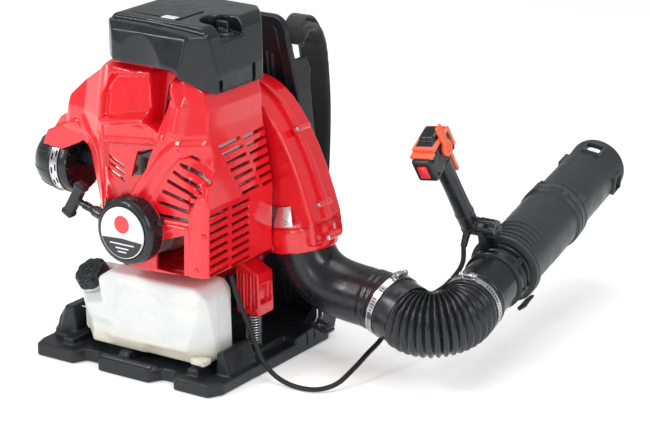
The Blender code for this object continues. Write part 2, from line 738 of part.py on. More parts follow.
def make_fan_half(name, low, high, hole_y, hole_r):
    """One half of the fan housing, split on the plane through the scroll's middle."""
    half = fan_solid(0.0, FAN_FRONT, FAN_BACK, COLLAR_R, 0.0)
    split = (FAN_FRONT + FAN_BACK) / 2
    rim_low, rim_high = (split - 0.006, split) if low < split - 0.03 else (split, split + 0.006)
    rim = outline_solid(inset(scroll_outline()[:-2], -0.006), rim_low, rim_high)
    half = join(half, rim)
    half = cut(half, fan_solid(WALL, FAN_FRONT + WALL, FAN_BACK - WALL, COLLAR_R - WALL, 0.02))
    half = cut(half, cylinder(hole_r, at_crank(hole_y - 0.02), at_crank(hole_y + 0.02), 36))
    half = keep(half, box((0.60, high - low, 0.60), (0.05, (low + high) / 2, 0.25)))
    return finish(half, name, "red_shell")


def make_fan_front():
    split = (FAN_FRONT + FAN_BACK) / 2
    return make_fan_half("fan_housing_front", split - 0.12, split, FAN_FRONT, 0.0130)


def make_fan_rear():
    split = (FAN_FRONT + FAN_BACK) / 2 + GAP
    return make_fan_half("fan_housing_rear", split, split + 0.12, FAN_BACK, 0.0580)


def make_bracket(side, name):
    """Ribbed engine foot that stands on a spring."""
    x = 0.132 * side if side > 0 else -0.082
    outline = [(x - 0.018, 0.084), (x + 0.024, 0.084), (x + 0.022, 0.150), (x - 0.018, 0.172)]
    foot = outline_solid(outline, -0.034, 0.006)
    for i in range(3):
        groove = Vector((x - 0.014 + 0.014 * i, -0.036, 0.118))
        foot = cut(foot, box((0.006, 0.012, 0.050), groove))
    return finish(foot, name, "red_shell")


def make_spring(x, name):
    """Open coil between the deck and the engine foot."""
    radius, wire, turns = 0.0100, 0.0021, 4
    low, high = 0.0302 + wire + GAP, 0.084 - wire - GAP
    count = turns * 8
    points = []
    for i in range(count + 1):
        turn = 2 * math.pi * turns * i / count
        points.append((x + radius * math.cos(turn), -0.014 + radius * math.sin(turn),
                       low + (high - low) * i / count))
    return finish(swept(points, wire, 0), name, "steel")


# ---- elbow, hose and tube ----
ELBOW_CURVE = (OUTLET - OUTLET_DIR * 0.020, OUTLET + OUTLET_DIR * 0.085,
               ELBOW_END - ELBOW_DIR * 0.075, ELBOW_END)
HOSE_START = ELBOW_END + ELBOW_DIR * HOSE_CUFF
HOSE_CURVE = (HOSE_START, HOSE_START + ELBOW_DIR * HOSE_HANDLE,
              HOSE_END - TUBE_DIR * HOSE_HANDLE, HOSE_END)


def stretch(curve, start, end, count):
    """Points along a curve, with one nearer to each end so that the ends are cut square."""
    steps = [start + (end - start) * i / (count - 1) for i in range(count)]
    near = (end - start) * 0.09
    steps = steps[:1] + [start + near] + steps[1:-1] + [end - near] + steps[-1:]
    return [bezier(curve, t) for t in steps]


def make_elbow():
    pipe = swept_pipe(stretch(ELBOW_CURVE, 0, 0.975, 9), ELBOW_R, 0.005, 7)
    clip = box((0.012, 0.018, 0.012), ELBOW_END + Vector((-0.0220, 0.0520, 0)))
    return set_origin(finish(join(pipe, clip), "elbow", "hose_black"), OUTLET)


def make_band(name, start, direction, radius):
    """Worm-drive hose band with its screw housing on top."""
    band = ring(radius, radius + 0.0022, start, start + direction * 0.011, 40)
    top = placed(start + direction * 0.0055, direction) @ Vector((0, radius + 0.0042, 0))
    screw = box((0.018, 0.0070, 0.0090), top, direction, Z)
    return finish(join(band, screw), name, "steel")


def make_hose(name, start, end):
    pipe = swept_pipe(stretch(HOSE_CURVE, start, end, 7), HOSE_R, 0.005, 6)
    return finish(pipe, name, "hose_black")


def make_hose_ring():
    """Middle convolution of the hose, between its two bending halves."""
    middle = ring(HOSE_R - 0.005, HOSE_R, bezier(HOSE_CURVE, 0.488), bezier(HOSE_CURVE, 0.512), 20)
    return set_origin(finish(middle, "hose_mid_ring", "hose_black"), bezier(HOSE_CURVE, 0.25))


def along_tube(s):
    return TUBE_MARK + TUBE_DIR * s


def make_swivel_pipe():
    """Inner pipe of the tube, with the handle's clamp and bracket."""
    pipe = ring(SWIVEL_R - 0.003, SWIVEL_R, along_tube(HOSE_STOP + GAP), along_tube(0.175), 28)
    clamp = ring(SWIVEL_R - 0.001, SWIVEL_R + 0.005, along_tube(0.034), along_tube(0.070), 28)
    foot = along_tube(0.050) + Vector((-0.018, 0, 0.038))
    head = HANDLE_PIVOT + X * 0.003
    arm = box((0.009, 0.024, (head - foot).length + 0.010), (head + foot) / 2, head - foot, Y)
    boss = cylinder(0.0145, HANDLE_PIVOT - X * 0.0035, HANDLE_PIVOT + X * 0.0115, 24)
    pipe = join(pipe, clamp, arm, boss)
    bore = cylinder(SWIVEL_R - 0.003, along_tube(-0.08), along_tube(0.19), 28)
    return set_origin(finish(cut(pipe, bore), "swivel_pipe", "hose_black"), bezier(HOSE_CURVE, 0.75))


TUBE_ONE_S = 0.076


def make_tube_one():
    """Telescoping pipe with a collar at each end."""
    profile = [(0.0535, 0.196), (0.0535, 0.179), (TUBE_R, 0.177), (TUBE_R, 0.018), (0.056, 0.016),
               (0.056, 0), (0.0447, 0), (0.0447, 0.196)]
    pipe = turned(profile, along_tube(TUBE_ONE_S), TUBE_DIR, 28, closed=True)
    return set_origin(finish(pipe, "tube_one", "tube_grey"), along_tube(TUBE_ONE_S))


LATCH_OUT = Vector((0.62, 0.10, -0.78))


def latch_point():
    out = (LATCH_OUT - TUBE_DIR * LATCH_OUT.dot(TUBE_DIR)).normalized()
    return along_tube(TUBE_ONE_S + 0.008) + out * 0.0605, out


def make_tube_latch():
    """Lever that locks the sliding tube."""
    point, out = latch_point()
    lever = bevel(box((0.016, 0.0075, 0.032), point - TUBE_DIR * 0.016, TUBE_DIR, out), 0.002, 1)
    return set_origin(finish(lever, "tube_latch", "black_shell"), point)


def make_end_tube():
    """Nozzle pipe with a bayonet collar and three windows near its mouth."""
    profile = [(0.0465, 0.187), (0.0475, 0.022), (0.0525, 0.016), (0.0525, 0), (0.0440, 0),
               (0.0430, 0.187)]
    pipe = turned(profile, along_tube(0.2723), TUBE_DIR, 28, closed=True)
    frame = placed(along_tube(0.425), TUBE_DIR)
    for degrees in (100, 10, 190):
        turn = math.radians(degrees)
        out = frame.to_3x3() @ Vector((math.cos(turn), math.sin(turn), 0))
        pipe = cut(pipe, box((0.026, 0.030, 0.024), along_tube(0.425) + out * 0.045, TUBE_DIR, out))
    return set_origin(finish(pipe, "end_tube", "tube_grey"), along_tube(0.2723))


# ---- handle ----
GRIP_TOP = GRIP_FOOT + GRIP_DIR * GRIP_LONG
HEAD_MID = GRIP_TOP + GRIP_DIR * 0.024
GRIP_BACK = (Y - GRIP_DIR * GRIP_DIR.y).normalized()
GRIP_SIDE = Y.cross(GRIP_DIR).normalized()
CRUISE_PIVOT = HEAD_MID + GRIP_SIDE * 0.0184
TRIGGER_PIVOT = GRIP_TOP - GRIP_DIR * 0.004 + GRIP_BACK * 0.0200
SWITCH_PIVOT = HEAD_MID - GRIP_DIR * 0.008 - GRIP_BACK * 0.0450


def make_grip_tube():
    foot = cylinder(0.0140, HANDLE_PIVOT - X * 0.030, HANDLE_PIVOT - X * 0.0038, 20)
    stem = cylinder(GRIP_R, GRIP_FOOT + GRIP_DIR * 0.004, GRIP_TOP, 24)
    relief = cylinder(0.0065, GRIP_FOOT + Vector((-0.003, -0.003, -0.006)),
                      GRIP_FOOT + Vector((-0.003, -0.0128, -0.0275)), 14)
    return set_origin(finish(join(stem, foot, relief), "grip_tube", "black_shell"), HANDLE_PIVOT)


def make_control_head():
    head = bevel(box((0.036, 0.050, 0.044), HEAD_MID, GRIP_DIR, Y), 0.006, 2)
    base = HEAD_MID - GRIP_DIR * (0.022 - 0.004)
    nose = bevel(box((0.034, 0.030, 0.040), base - GRIP_BACK * 0.030 + GRIP_DIR * 0.010,
                     GRIP_DIR, Y), 0.004, 1)
    head = join(head, nose)
    socket = cylinder(GRIP_R + GAP, GRIP_TOP - GRIP_DIR * 0.02, GRIP_TOP + GRIP_DIR * GAP, 24)
    well = box((0.0175, 0.0130, 0.0235), SWITCH_PIVOT, GRIP_DIR, Y)
    head = cut(head, socket, well)
    return set_origin(finish(head, "control_head", "black_shell"), HANDLE_PIVOT)


def make_cruise_lever():
    """Orange speed-holding lever on the head's right side."""
    hub = cylinder(0.0130, CRUISE_PIVOT, CRUISE_PIVOT + GRIP_SIDE * 0.006, 20)
    blade = bevel(box((0.006, 0.014, 0.040), CRUISE_PIVOT + GRIP_SIDE * 0.003 + GRIP_DIR * 0.022,
                      GRIP_DIR, Y), 0.0015, 1)
    return set_origin(finish(join(hub, blade), "cruise_lever", "signal_orange"), CRUISE_PIVOT)


def make_trigger():
    blade = bevel(box((0.012, 0.007, 0.036), TRIGGER_PIVOT - GRIP_DIR * 0.020 + GRIP_BACK * 0.004,
                      GRIP_DIR, Y), 0.002, 1)
    return set_origin(finish(blade, "trigger", "signal_orange"), TRIGGER_PIVOT)


def make_stop_switch():
    middle = SWITCH_PIVOT - GRIP_BACK * 0.0010
    rocker = bevel(box((0.016, 0.0060, 0.022), middle, GRIP_DIR, Y), 0.001, 1)
    return set_origin(finish(rocker, "stop_switch", "signal_orange"), SWITCH_PIVOT)


def make_handle_knob():
    """Lobed clamp knob at the handle's pivot."""
    foot = HANDLE_PIVOT + X * (0.0115 + GAP)
    knob = cylinder(0.0155, foot, foot + X * 0.016, 28)
    for i in range(6):
        turn = math.radians(60 * i)
        dent = foot + Vector((-0.01, 0.0185 * math.cos(turn), 0.0185 * math.sin(turn)))
        knob = cut(knob, cylinder(0.0055, dent, dent + X * 0.04, 10))
    return set_origin(finish(knob, "handle_knob", "black_shell"), foot)


# ---- throttle cable ----
CABLE_LOWER = [(0.145, -0.089, 0.1665), (0.152, -0.086, 0.136), (0.162, -0.078, 0.100),
               (0.173, -0.074, 0.068), (0.184, -0.069, 0.036), (0.207, -0.067, 0.013),
               (0.243, -0.071, 0.0055), (0.279, -0.064, 0.0055), (0.298, -0.038, 0.010),
               (0.303, 0.000, 0.022), (0.303, 0.040, 0.034), (0.304, 0.080, 0.048),
               (0.3015, 0.104, 0.076), (0.2995, 0.1130, 0.1005)]
CABLE_HOSE = [(0.2995, 0.1130, 0.1195), (0.3030, 0.1155, 0.1250), (0.3130, 0.1220, 0.1270),
              (0.328, 0.1275, 0.1190), (0.338, 0.1292, 0.1138), (0.3462, 0.1316, 0.1112)]
CABLE_TUBE = [(0.3500, 0.1329, 0.1106), (0.3575, 0.1420, 0.1108), (0.3660, 0.1560, 0.1180),
              (0.3720, 0.1690, 0.1270)]
CABLE_HANDLE = [(0.3726, 0.1702, 0.1282), (0.3775, 0.1820, 0.1400), (0.3790, 0.1910, 0.1540),
                (0.3757, 0.1970, 0.1735)]


def make_cable(route, name):
    return finish(swept(smooth_route(route, 0.016), CABLE_R, 2), name, "cord_black")


def main():
    clear_scene()
    make_base_tray()
    make_back_frame()
    make_back_pad()
    make_shoulder_strap(-1, "shoulder_strap_left")
    make_shoulder_strap(1, "shoulder_strap_right")
    make_strap_buckle()
    make_fuel_tank()
    make_fuel_cap()
    make_fuel_line()
    make_crankcase()
    make_crankshaft()
    make_flywheel()
    make_impeller()
    make_cylinder()
    make_spark_plug()
    make_plug_cap()
    make_muffler()
    make_carburettor()
    make_primer_bulb()
    make_choke_lever()
    make_air_cleaner_case()
    make_filter_band()
    make_air_cleaner_cover()
    make_shroud()
    make_side_louvre()
    make_top_cover()
    make_cover_knob()
    make_starter_case()
    make_starter_badge()
    make_starter_pulley()
    make_starter_grip()
    make_starter_rope()
    make_fan_front()
    make_fan_rear()
    make_bracket(1, "mount_bracket_right")
    make_bracket(-1, "mount_bracket_left")
    make_spring(0.132, "spring_right")
    make_spring(-0.082, "spring_left")
    make_elbow()
    make_band("band_elbow", ELBOW_END - ELBOW_DIR * 0.018, ELBOW_DIR, ELBOW_R + 0.0035)
    make_hose("hose_lower", 0.0, 0.390)
    make_hose_ring()
    make_hose("hose_upper", 0.610, 0.920)
    make_swivel_pipe()
    make_band("band_tube", along_tube(HOSE_STOP + 0.006), TUBE_DIR, SWIVEL_R + 0.0032)
    make_tube_one()
    make_tube_latch()
    make_end_tube()
    make_grip_tube()
    make_control_head()
    make_cruise_lever()
    make_trigger()
    make_stop_switch()
    make_handle_knob()
    make_cable(CABLE_LOWER, "cable_lower")
    make_cable(CABLE_HOSE, "cable_hose")
    make_cable(CABLE_TUBE, "cable_tube")
    make_cable(CABLE_HANDLE, "cable_handle")


main()
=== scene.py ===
"""Backpack leaf blower: mouldings, fabric, bellows, cords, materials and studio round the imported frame."""
import math

import bmesh
import bpy
import numpy as np
from mathutils import Matrix, Vector


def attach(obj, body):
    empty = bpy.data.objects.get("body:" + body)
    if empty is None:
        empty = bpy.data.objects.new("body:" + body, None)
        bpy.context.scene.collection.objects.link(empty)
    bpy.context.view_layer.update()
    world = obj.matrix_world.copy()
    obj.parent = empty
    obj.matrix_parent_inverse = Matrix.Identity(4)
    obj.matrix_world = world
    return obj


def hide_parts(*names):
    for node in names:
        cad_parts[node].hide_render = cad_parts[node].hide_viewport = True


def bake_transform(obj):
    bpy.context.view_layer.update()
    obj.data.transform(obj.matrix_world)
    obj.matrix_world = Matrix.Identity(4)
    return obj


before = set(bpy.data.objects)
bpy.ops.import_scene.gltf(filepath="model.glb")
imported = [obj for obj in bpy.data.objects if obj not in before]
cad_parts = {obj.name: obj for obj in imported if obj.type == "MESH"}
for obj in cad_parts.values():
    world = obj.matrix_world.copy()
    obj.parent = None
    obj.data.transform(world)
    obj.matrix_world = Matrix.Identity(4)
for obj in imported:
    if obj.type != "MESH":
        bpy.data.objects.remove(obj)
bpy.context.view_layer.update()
X, Y, Z = Vector((1, 0, 0)), Vector((0, 1, 0)), Vector((0, 0, 1))

# ---- driving dimensions, as in the part (metres) ----
CRANK = Vector((0.026, 0, 0.24))
SHROUD_FRONT = -0.165
OUTLET = Vector((0.1783, 0.055, 0.178))
OUTLET_TILT = math.radians(10)
OUTLET_DIR = Vector((math.sin(OUTLET_TILT), 0, -math.cos(OUTLET_TILT)))
ELBOW_R = 0.046
ELBOW_END = Vector((0.347, 0.055, 0.108))
ELBOW_DIR = Vector((0.94, -0.2, -0.24)).normalized()
HOSE_CUFF = 0.021
HOSE_HANDLE = 0.0375
TUBE_DIR = Vector((-0.09, 0.98, 0.17)).normalized()
TUBE_MARK = Vector((0.43, 0.165, 0.12))
HOSE_STOP = -0.058
HOSE_START = ELBOW_END + ELBOW_DIR * HOSE_CUFF
HOSE_END = TUBE_MARK + TUBE_DIR * HOSE_STOP
SWIVEL_R = 0.0435
TUBE_R = 0.05
TUBE_ONE_S = 0.076
NOZZLE_S = 0.2723
HANDLE_PIVOT = Vector((0.398, 0.2125, 0.204))
GRIP_FOOT = Vector((0.379, 0.211, 0.203))
GRIP_DIR = Vector((-0.124, -0.475, 0.871)).normalized()
GRIP_TOP = GRIP_FOOT + GRIP_DIR * 0.137
GRIP_BACK = (Y - GRIP_DIR * GRIP_DIR.y).normalized()
GRIP_SIDE = Y.cross(GRIP_DIR).normalized()
HEAD_MID = GRIP_TOP + GRIP_DIR * 0.024
AIR_CLEANER = Vector((-0.156, -0.072, 0.29))
CAP_SEAT = Vector((-0.09, -0.112, 0.118))
CAP_DIR = Vector((-0.15, -0.55, 0.82)).normalized()
PULL_DIR = Vector((-0.95, 0, 0.3)).normalized()
LEAN = math.radians(6.6)
PLATE_Y = 0.1545
PLATE_Z = 0.006
CABLE_R = 0.004
ELBOW_CURVE = (OUTLET - OUTLET_DIR * 0.02, OUTLET + OUTLET_DIR * 0.085,
               ELBOW_END - ELBOW_DIR * 0.075, ELBOW_END)
HOSE_CURVE = (HOSE_START, HOSE_START + ELBOW_DIR * HOSE_HANDLE, HOSE_END - TUBE_DIR * HOSE_HANDLE, HOSE_END)


# ---- camera and studio settings ----
LENS = 130.3
SENSOR = 36
CAMERA_PLACE = (2.064, -2.758, 1.328)
CAMERA_AZIMUTH, CAMERA_ELEVATION = math.radians(33.3), math.radians(18)
FLOOR_HALF = 12
FLOOR_GLOW = 0.37
WORLD_LIGHT = 0.44


# ---- materials ----
def new_material(name):
    made = bpy.data.materials.new(name)
    made.use_nodes = True
    tree = made.node_tree
    return made, tree, tree.nodes["Principled BSDF"]


def dial(node, **values):
    """Set a node's inputs; an underscore stands for the space in an input's name."""
    for key, value in values.items():
        node.inputs[key.replace("_", " ")].default_value = value


def coordinates(tree, scale=(1, 1, 1)):
    place = tree.nodes.new("ShaderNodeTexCoord")
    mapping = tree.nodes.new("ShaderNodeMapping")
    dial(mapping, Scale=scale)
    tree.links.new(place.outputs["Object"], mapping.inputs["Vector"])
    return mapping.outputs["Vector"]


def noise(tree, vector, scale, detail):
    node = tree.nodes.new("ShaderNodeTexNoise")
    dial(node, Scale=scale, Detail=detail, Roughness=0.55)
    tree.links.new(vector, node.inputs["Vector"])
    return node.outputs["Fac"]


def ramp(tree, value, low, high, start, end):
    node = tree.nodes.new("ShaderNodeMapRange")
    dial(node, From_Min=low, From_Max=high, To_Min=start, To_Max=end)
    tree.links.new(value, node.inputs["Value"])
    return node.outputs["Result"]


def patches(tree, vector, scale, detail, start=0, end=1):
    """Noise with its middle range spread from start to end."""
    return ramp(tree, noise(tree, vector, scale, detail), 0.3, 0.7, start, end)


def blend_colour(tree, factor, first, second):
    """Mix two colours; either may be a socket or a plain colour."""
    node = tree.nodes.new("ShaderNodeMix")
    node.data_type = "RGBA"
    tree.links.new(factor, node.inputs["Factor"])
    for key, value in (("A", first), ("B", second)):
        socket = [s for s in node.inputs if s.name == key and s.type == "RGBA"][0]
        if isinstance(value, bpy.types.NodeSocket):
            tree.links.new(value, socket)
        else:
            socket.default_value = (*value, 1)
    return [s for s in node.outputs if s.type == "RGBA"][0]


def bump(tree, shader, height, depth, strength, before=None):
    node = tree.nodes.new("ShaderNodeBump")
    dial(node, Strength=strength, Distance=depth)
    tree.links.new(height, node.inputs["Height"])
    if before is not None:
        tree.links.new(before, node.inputs["Normal"])
    tree.links.new(node.outputs["Normal"], shader.inputs["Normal"])
    return node.outputs["Normal"]


def shade(colour, factor):
    return tuple(min(1.0, c * factor) for c in colour)


def moulding(name, colour, rough, grain, depth, metallic=0.0, coat=0.0, wear=0.25, mottle=0.1,
             stretch=(1, 1, 1), bands=0.1, shine=0.5):
    """Moulded or cast surface: colour drift, fine grain, rubbed edges and patchy gloss."""
    made, tree, shader = new_material(name)
    vector = coordinates(tree)
    base = blend_colour(tree, patches(tree, vector, 14, 5), shade(colour, 1 - mottle),
                        shade(colour, 1 + mottle))
    if wear:
        edge = tree.nodes.new("ShaderNodeNewGeometry").outputs["Pointiness"]
        rubbed = ramp(tree, edge, 0.53, 0.6, 0, wear)
        lighter = tuple(c + (1 - c) * 0.35 for c in colour)
        base = blend_colour(tree, rubbed, base, lighter)
    tree.links.new(base, shader.inputs["Base Color"])
    tree.links.new(patches(tree, vector, 55, 6, rough - bands, rough + bands), shader.inputs["Roughness"])
    bump(tree, shader, noise(tree, coordinates(tree, stretch), grain, 2), depth, 0.6)
    dial(shader, Metallic=metallic, Specular_IOR_Level=shine, Coat_Weight=coat, Coat_Roughness=0.08)
    return made


def woven(name, colour, pitch, rough):
    """Plain weave: two crossed sets of threads, with fuzz and a slow fade."""
    made, tree, shader = new_material(name)
    vector = coordinates(tree)
    weave = tree.nodes.new("ShaderNodeMath")
    weave.operation = "MULTIPLY"
    for slot, direction in enumerate("XZ"):
        threads = tree.nodes.new("ShaderNodeTexWave")
        threads.bands_direction = direction
        dial(threads, Scale=0.314 / pitch, Distortion=0.6, Detail=1.0)
        tree.links.new(vector, threads.inputs["Vector"])
        tree.links.new(threads.outputs["Fac"], weave.inputs[slot])
    worn = blend_colour(tree, patches(tree, vector, 22, 5), shade(colour, 0.75), shade(colour, 1.35))
    lit = blend_colour(tree, weave.outputs[0], shade(colour, 0.55), worn)
    tree.links.new(lit, shader.inputs["Base Color"])
    dial(shader, Roughness=rough, Sheen_Weight=0.35, Sheen_Roughness=0.5)
    first = bump(tree, shader, weave.outputs[0], 0.00035, 0.8)
    bump(tree, shader, noise(tree, vector, 60, 4), 0.0012, 0.35, first)
    return made


def tank_plastic(name):
    """Milky blow-moulded plastic with a faint fuel line and a warm tint low down."""
    made, tree, shader = new_material(name)
    vector = coordinates(tree)
    split = tree.nodes.new("ShaderNodeSeparateXYZ")
    tree.links.new(vector, split.inputs["Vector"])
    level = ramp(tree, split.outputs["Z"], 0.046, 0.07, 1, 0)
    white = blend_colour(tree, patches(tree, vector, 20, 5), (0.66, 0.68, 0.68), (0.74, 0.75, 0.74))
    tree.links.new(blend_colour(tree, level, white, (0.7, 0.67, 0.56)), shader.inputs["Base Color"])
    tree.links.new(patches(tree, vector, 70, 5, 0.26, 0.4), shader.inputs["Roughness"])
    dial(shader, Subsurface_Weight=0.35, Subsurface_Radius=(0.02, 0.018, 0.014), Subsurface_Scale=0.4)
    bump(tree, shader, noise(tree, vector, 260, 3), 0.0002, 0.5)
    return made


def make_materials():
    """Every material by its name; name, colour, roughness, grain and depth of grain, then the extras."""
    yellow = moulding("fuel_yellow", (0.72, 0.5, 0.03), 0.3, 300, 0.00003, coat=0.3)
    dial(yellow.node_tree.nodes["Principled BSDF"], Transmission_Weight=0.35)
    made = [
        moulding("red_shell", (0.76, 0.005, 0.014), 0.24, 260, 0.00005, coat=0.6, wear=0.1, mottle=0.06,
                 bands=0.06),
        moulding("black_shell", (0.008, 0.0105, 0.0145), 0.3, 900, 0.00007, wear=0.05, coat=0.25,
                 shine=0.35),
        moulding("frame_black", (0.011, 0.014, 0.0185), 0.36, 700, 0.00012, wear=0.05, shine=0.38),
        moulding("tube_grey", (0.034, 0.037, 0.043), 0.4, 800, 0.0001, wear=0.08, shine=0.4),
        moulding("hose_black", (0.011, 0.0125, 0.015), 0.26, 500, 0.0001, wear=0.04, shine=0.45),
        moulding("alloy", (0.52, 0.53, 0.54), 0.42, 420, 0.00015, metallic=0.9, wear=0.3),
        moulding("steel", (0.62, 0.62, 0.63), 0.26, 240, 0.00004, metallic=1.0, wear=0.0,
                 stretch=(1, 1, 14)),
        moulding("signal_orange", (0.86, 0.105, 0.02), 0.34, 700, 0.00006, coat=0.15),
        moulding("badge_white", (0.74, 0.75, 0.76), 0.28, 300, 0.00002, wear=0.0, mottle=0.03),
        yellow,
        moulding("cord_black", (0.011, 0.012, 0.014), 0.46, 900, 0.0001, wear=0.0, shine=0.35),
        woven("webbing", (0.014, 0.014, 0.016), 0.0018, 0.7),
        woven("soft_pad", (0.013, 0.013, 0.015), 0.0013, 0.8),
        tank_plastic("tank_white"),
        moulding("foil", (0.66, 0.66, 0.67), 0.3, 120, 0.0006, metallic=1.0, wear=0.0),
        # Near-black and rough; here it dresses the dark sleeve just inside the filter band's slots.
        moulding("soot", (0.012, 0.012, 0.013), 0.7, 500, 0.0001, wear=0.0),
    ]
    return {item.name.split(".")[0]: item for item in made}


MATERIAL = make_materials()


# ---- mesh tools ----
def link(name, mesh, matrix=None):
    item = bpy.data.objects.new(name, mesh)
    bpy.context.scene.collection.objects.link(item)
    if matrix is not None:
        item.matrix_world = matrix
    return item


def bake(item, weld=True):
    """Apply every modifier and the object's own place."""
    bpy.context.view_layer.update()
    graph = bpy.context.evaluated_depsgraph_get()
    mesh = bpy.data.meshes.new_from_object(item.evaluated_get(graph))
    mesh.transform(item.matrix_world)
    name = item.name
    bpy.data.objects.remove(item, do_unlink=True)
    if not weld:
        return link(name, mesh)
    tidy = bmesh.new()
    tidy.from_mesh(mesh)
    bmesh.ops.remove_doubles(tidy, verts=tidy.verts, dist=0.00002)
    bmesh.ops.recalc_face_normals(tidy, faces=tidy.faces)
    tidy.to_mesh(mesh)
    tidy.free()
    return link(name, mesh)


def modify(item, kind, **settings):
    step = item.modifiers.new(kind.lower(), kind)
    for key, value in settings.items():
        setattr(step, key, value)


def boolean(target, others, operation, solver="EXACT"):
    for other in others:
        modify(target, "BOOLEAN", operation=operation, object=other, solver=solver)
        target = bake(target, solver == "EXACT")
        bpy.data.objects.remove(other, do_unlink=True)
    return target


def cut(target, *others):
    return boolean(target, others, "DIFFERENCE")


def carve(target, *others):
    """Cut a dense mesh with the manifold solver, and leave its vertices unwelded."""
    return boolean(target, others, "DIFFERENCE", "MANIFOLD")


def join(target, *others):
    return boolean(target, others, "UNION")


def keep(target, *others):
    return boolean(target, others, "INTERSECT")


def mesh_of(name, shape):
    """A mesh from a bmesh, which is freed."""
    mesh = bpy.data.meshes.new(name)
    shape.to_mesh(mesh)
    shape.free()
    return mesh


def skin(name, verts, faces):
    """An object from vertices and faces."""
    mesh = bpy.data.meshes.new(name)
    mesh.from_pydata([tuple(v) for v in verts], [], faces)
    return bake(link(name, mesh))


def gather(items):
    """Several meshes in one object, with nothing joined."""
    shape = bmesh.new()
    for item in items:
        item.data.transform(item.matrix_world)
        shape.from_mesh(item.data)
        bpy.data.objects.remove(item, do_unlink=True)
    return link("gathered", mesh_of("gathered", shape))


def bevel(item, width, segments, angle=35):
    modify(item, "BEVEL", width=width, segments=segments, limit_method="ANGLE",
           angle_limit=math.radians(angle))
    return bake(item)


def moulded(item, voxel, passes):
    """Round every edge the way a moulding's draft and fillets do."""
    modify(item, "REMESH", mode="VOXEL", voxel_size=voxel)
    modify(item, "SMOOTH", iterations=passes)
    return bake(item)


def finish(item, name, material, body="chassis", replaced="", smooth=35):
    """Name a piece, or a list of pieces as one, dress it and hang it on its body."""
    if isinstance(item, list):
        item = gather(item)
    item.name = name
    item.data.name = name
    item.data.materials.clear()
    item.data.materials.append(MATERIAL[material])
    item.data.shade_smooth()
    if smooth < 180:
        item.data.set_sharp_from_angle(angle=math.radians(smooth))
    if body is not None:
        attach(item, body)
    if replaced:
        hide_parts(*replaced.split())
    return item


def placed(point, direction, roll=Z):
    along = Vector(direction).normalized()
    side = Vector(roll).cross(along)
    if side.length < 0.001:
        side = Y.cross(along)
        if side.length < 0.001:
            side = X.copy()
    side.normalize()
    up = along.cross(side)
    turn = Matrix((side, up, along)).transposed().to_4x4()
    return Matrix.Translation(Vector(point)) @ turn


def box(size, centre, direction=Z, roll=Y):
    shape = bmesh.new()
    bmesh.ops.create_cube(shape, size=1.0)
    bmesh.ops.scale(shape, vec=size, verts=shape.verts)
    return bake(link("box", mesh_of("box", shape), placed(centre, direction, roll)))


def block(size, centre, width, segments, direction=Z, roll=Y, angle=35):
    """A box with its edges beveled."""
    return bevel(box(size, centre, direction, roll), width, segments, angle)


def cylinder(radius, start, end, sides=48):
    start, end = Vector(start), Vector(end)
    shape = bmesh.new()
    bmesh.ops.create_cone(shape, cap_ends=True, segments=sides, radius1=radius, radius2=radius,
                          depth=(end - start).length)
    return bake(link("cylinder", mesh_of("cylinder", shape), placed((start + end) / 2, end - start)))


def rod(radius, point, direction, low, high, sides=48):
    """A cylinder that runs from low to high along a direction through a point."""
    return cylinder(radius, point + direction * low, point + direction * high, sides)


def turned(profile, point, direction, sides, closed=False):
    """A lathed skin from (radius, height) pairs; a closed profile makes a ring."""
    mesh = bpy.data.meshes.new("turned")
    edges = [(i, i + 1) for i in range(len(profile) - 1)]
    if closed:
        edges.append((len(profile) - 1, 0))
    mesh.from_pydata([(r, 0, h) for r, h in profile], edges, [])
    item = link("turned", mesh, placed(point, direction))
    modify(item, "SCREW", steps=sides, render_steps=sides, use_merge_vertices=True, merge_threshold=0.00005)
    return bake(item)


def ring(inner, outer, start, end, sides=64):
    start, end = Vector(start), Vector(end)
    long = (end - start).length
    return turned([(outer, long), (outer, 0), (inner, 0), (inner, long)], start, end - start, sides, True)


def hoop(inner, outer, point, direction, low, high, sides=64):
    """A ring that runs from low to high along a direction through a point."""
    return ring(inner, outer, point + direction * low, point + direction * high, sides)


def compass(degrees, axis=X):
    """Unit vector square to X or to Y, turned towards Z."""
    turn = math.radians(degrees)
    across, lift = math.cos(turn), math.sin(turn)
    return Vector((0, across, lift)) if axis is X else Vector((across, 0, lift))


def outline_solid(points, low, high, plane="XZ"):
    """A closed outline in one plane, extruded from low to high."""
    curve = bpy.data.curves.new("outline", "CURVE")
    curve.dimensions = "2D"
    curve.fill_mode = "BOTH"
    curve.extrude = (high - low) / 2
    line = curve.splines.new("POLY")
    line.points.add(len(points) - 1)
    for spot, (a, b) in zip(line.points, points):
        spot.co = (a, b, 0, 1)
    line.use_cyclic_u = True
    middle = (high + low) / 2
    frames = {
        "XZ": Matrix(((1, 0, 0, 0), (0, 0, -1, middle), (0, 1, 0, 0), (0, 0, 0, 1))),
        "XY": Matrix(((1, 0, 0, 0), (0, 1, 0, 0), (0, 0, 1, middle), (0, 0, 0, 1))),
        "YZ": Matrix(((0, 0, 1, middle), (1, 0, 0, 0), (0, 1, 0, 0), (0, 0, 0, 1))),
    }
    return bake(link("outline", curve, frames[plane]))


def inset(points, distance):
    """An outline moved inwards by a distance."""
    count = len(points)
    area = sum(points[i][0] * points[(i + 1) % count][1]
               - points[(i + 1) % count][0] * points[i][1] for i in range(count))
    turn = 1 if area > 0 else -1
    moved = []
    for i, point in enumerate(points):
        before, here, after = Vector(points[i - 1]), Vector(point), Vector(points[(i + 1) % count])
        first, second = (here - before).normalized(), (after - here).normalized()
        normal_a = Vector((-first.y, first.x)) * turn
        normal_b = Vector((-second.y, second.x)) * turn
        middle = (normal_a + normal_b).normalized()
        moved.append(tuple(here + middle * (distance / max(0.35, middle.dot(normal_a)))))
    return moved


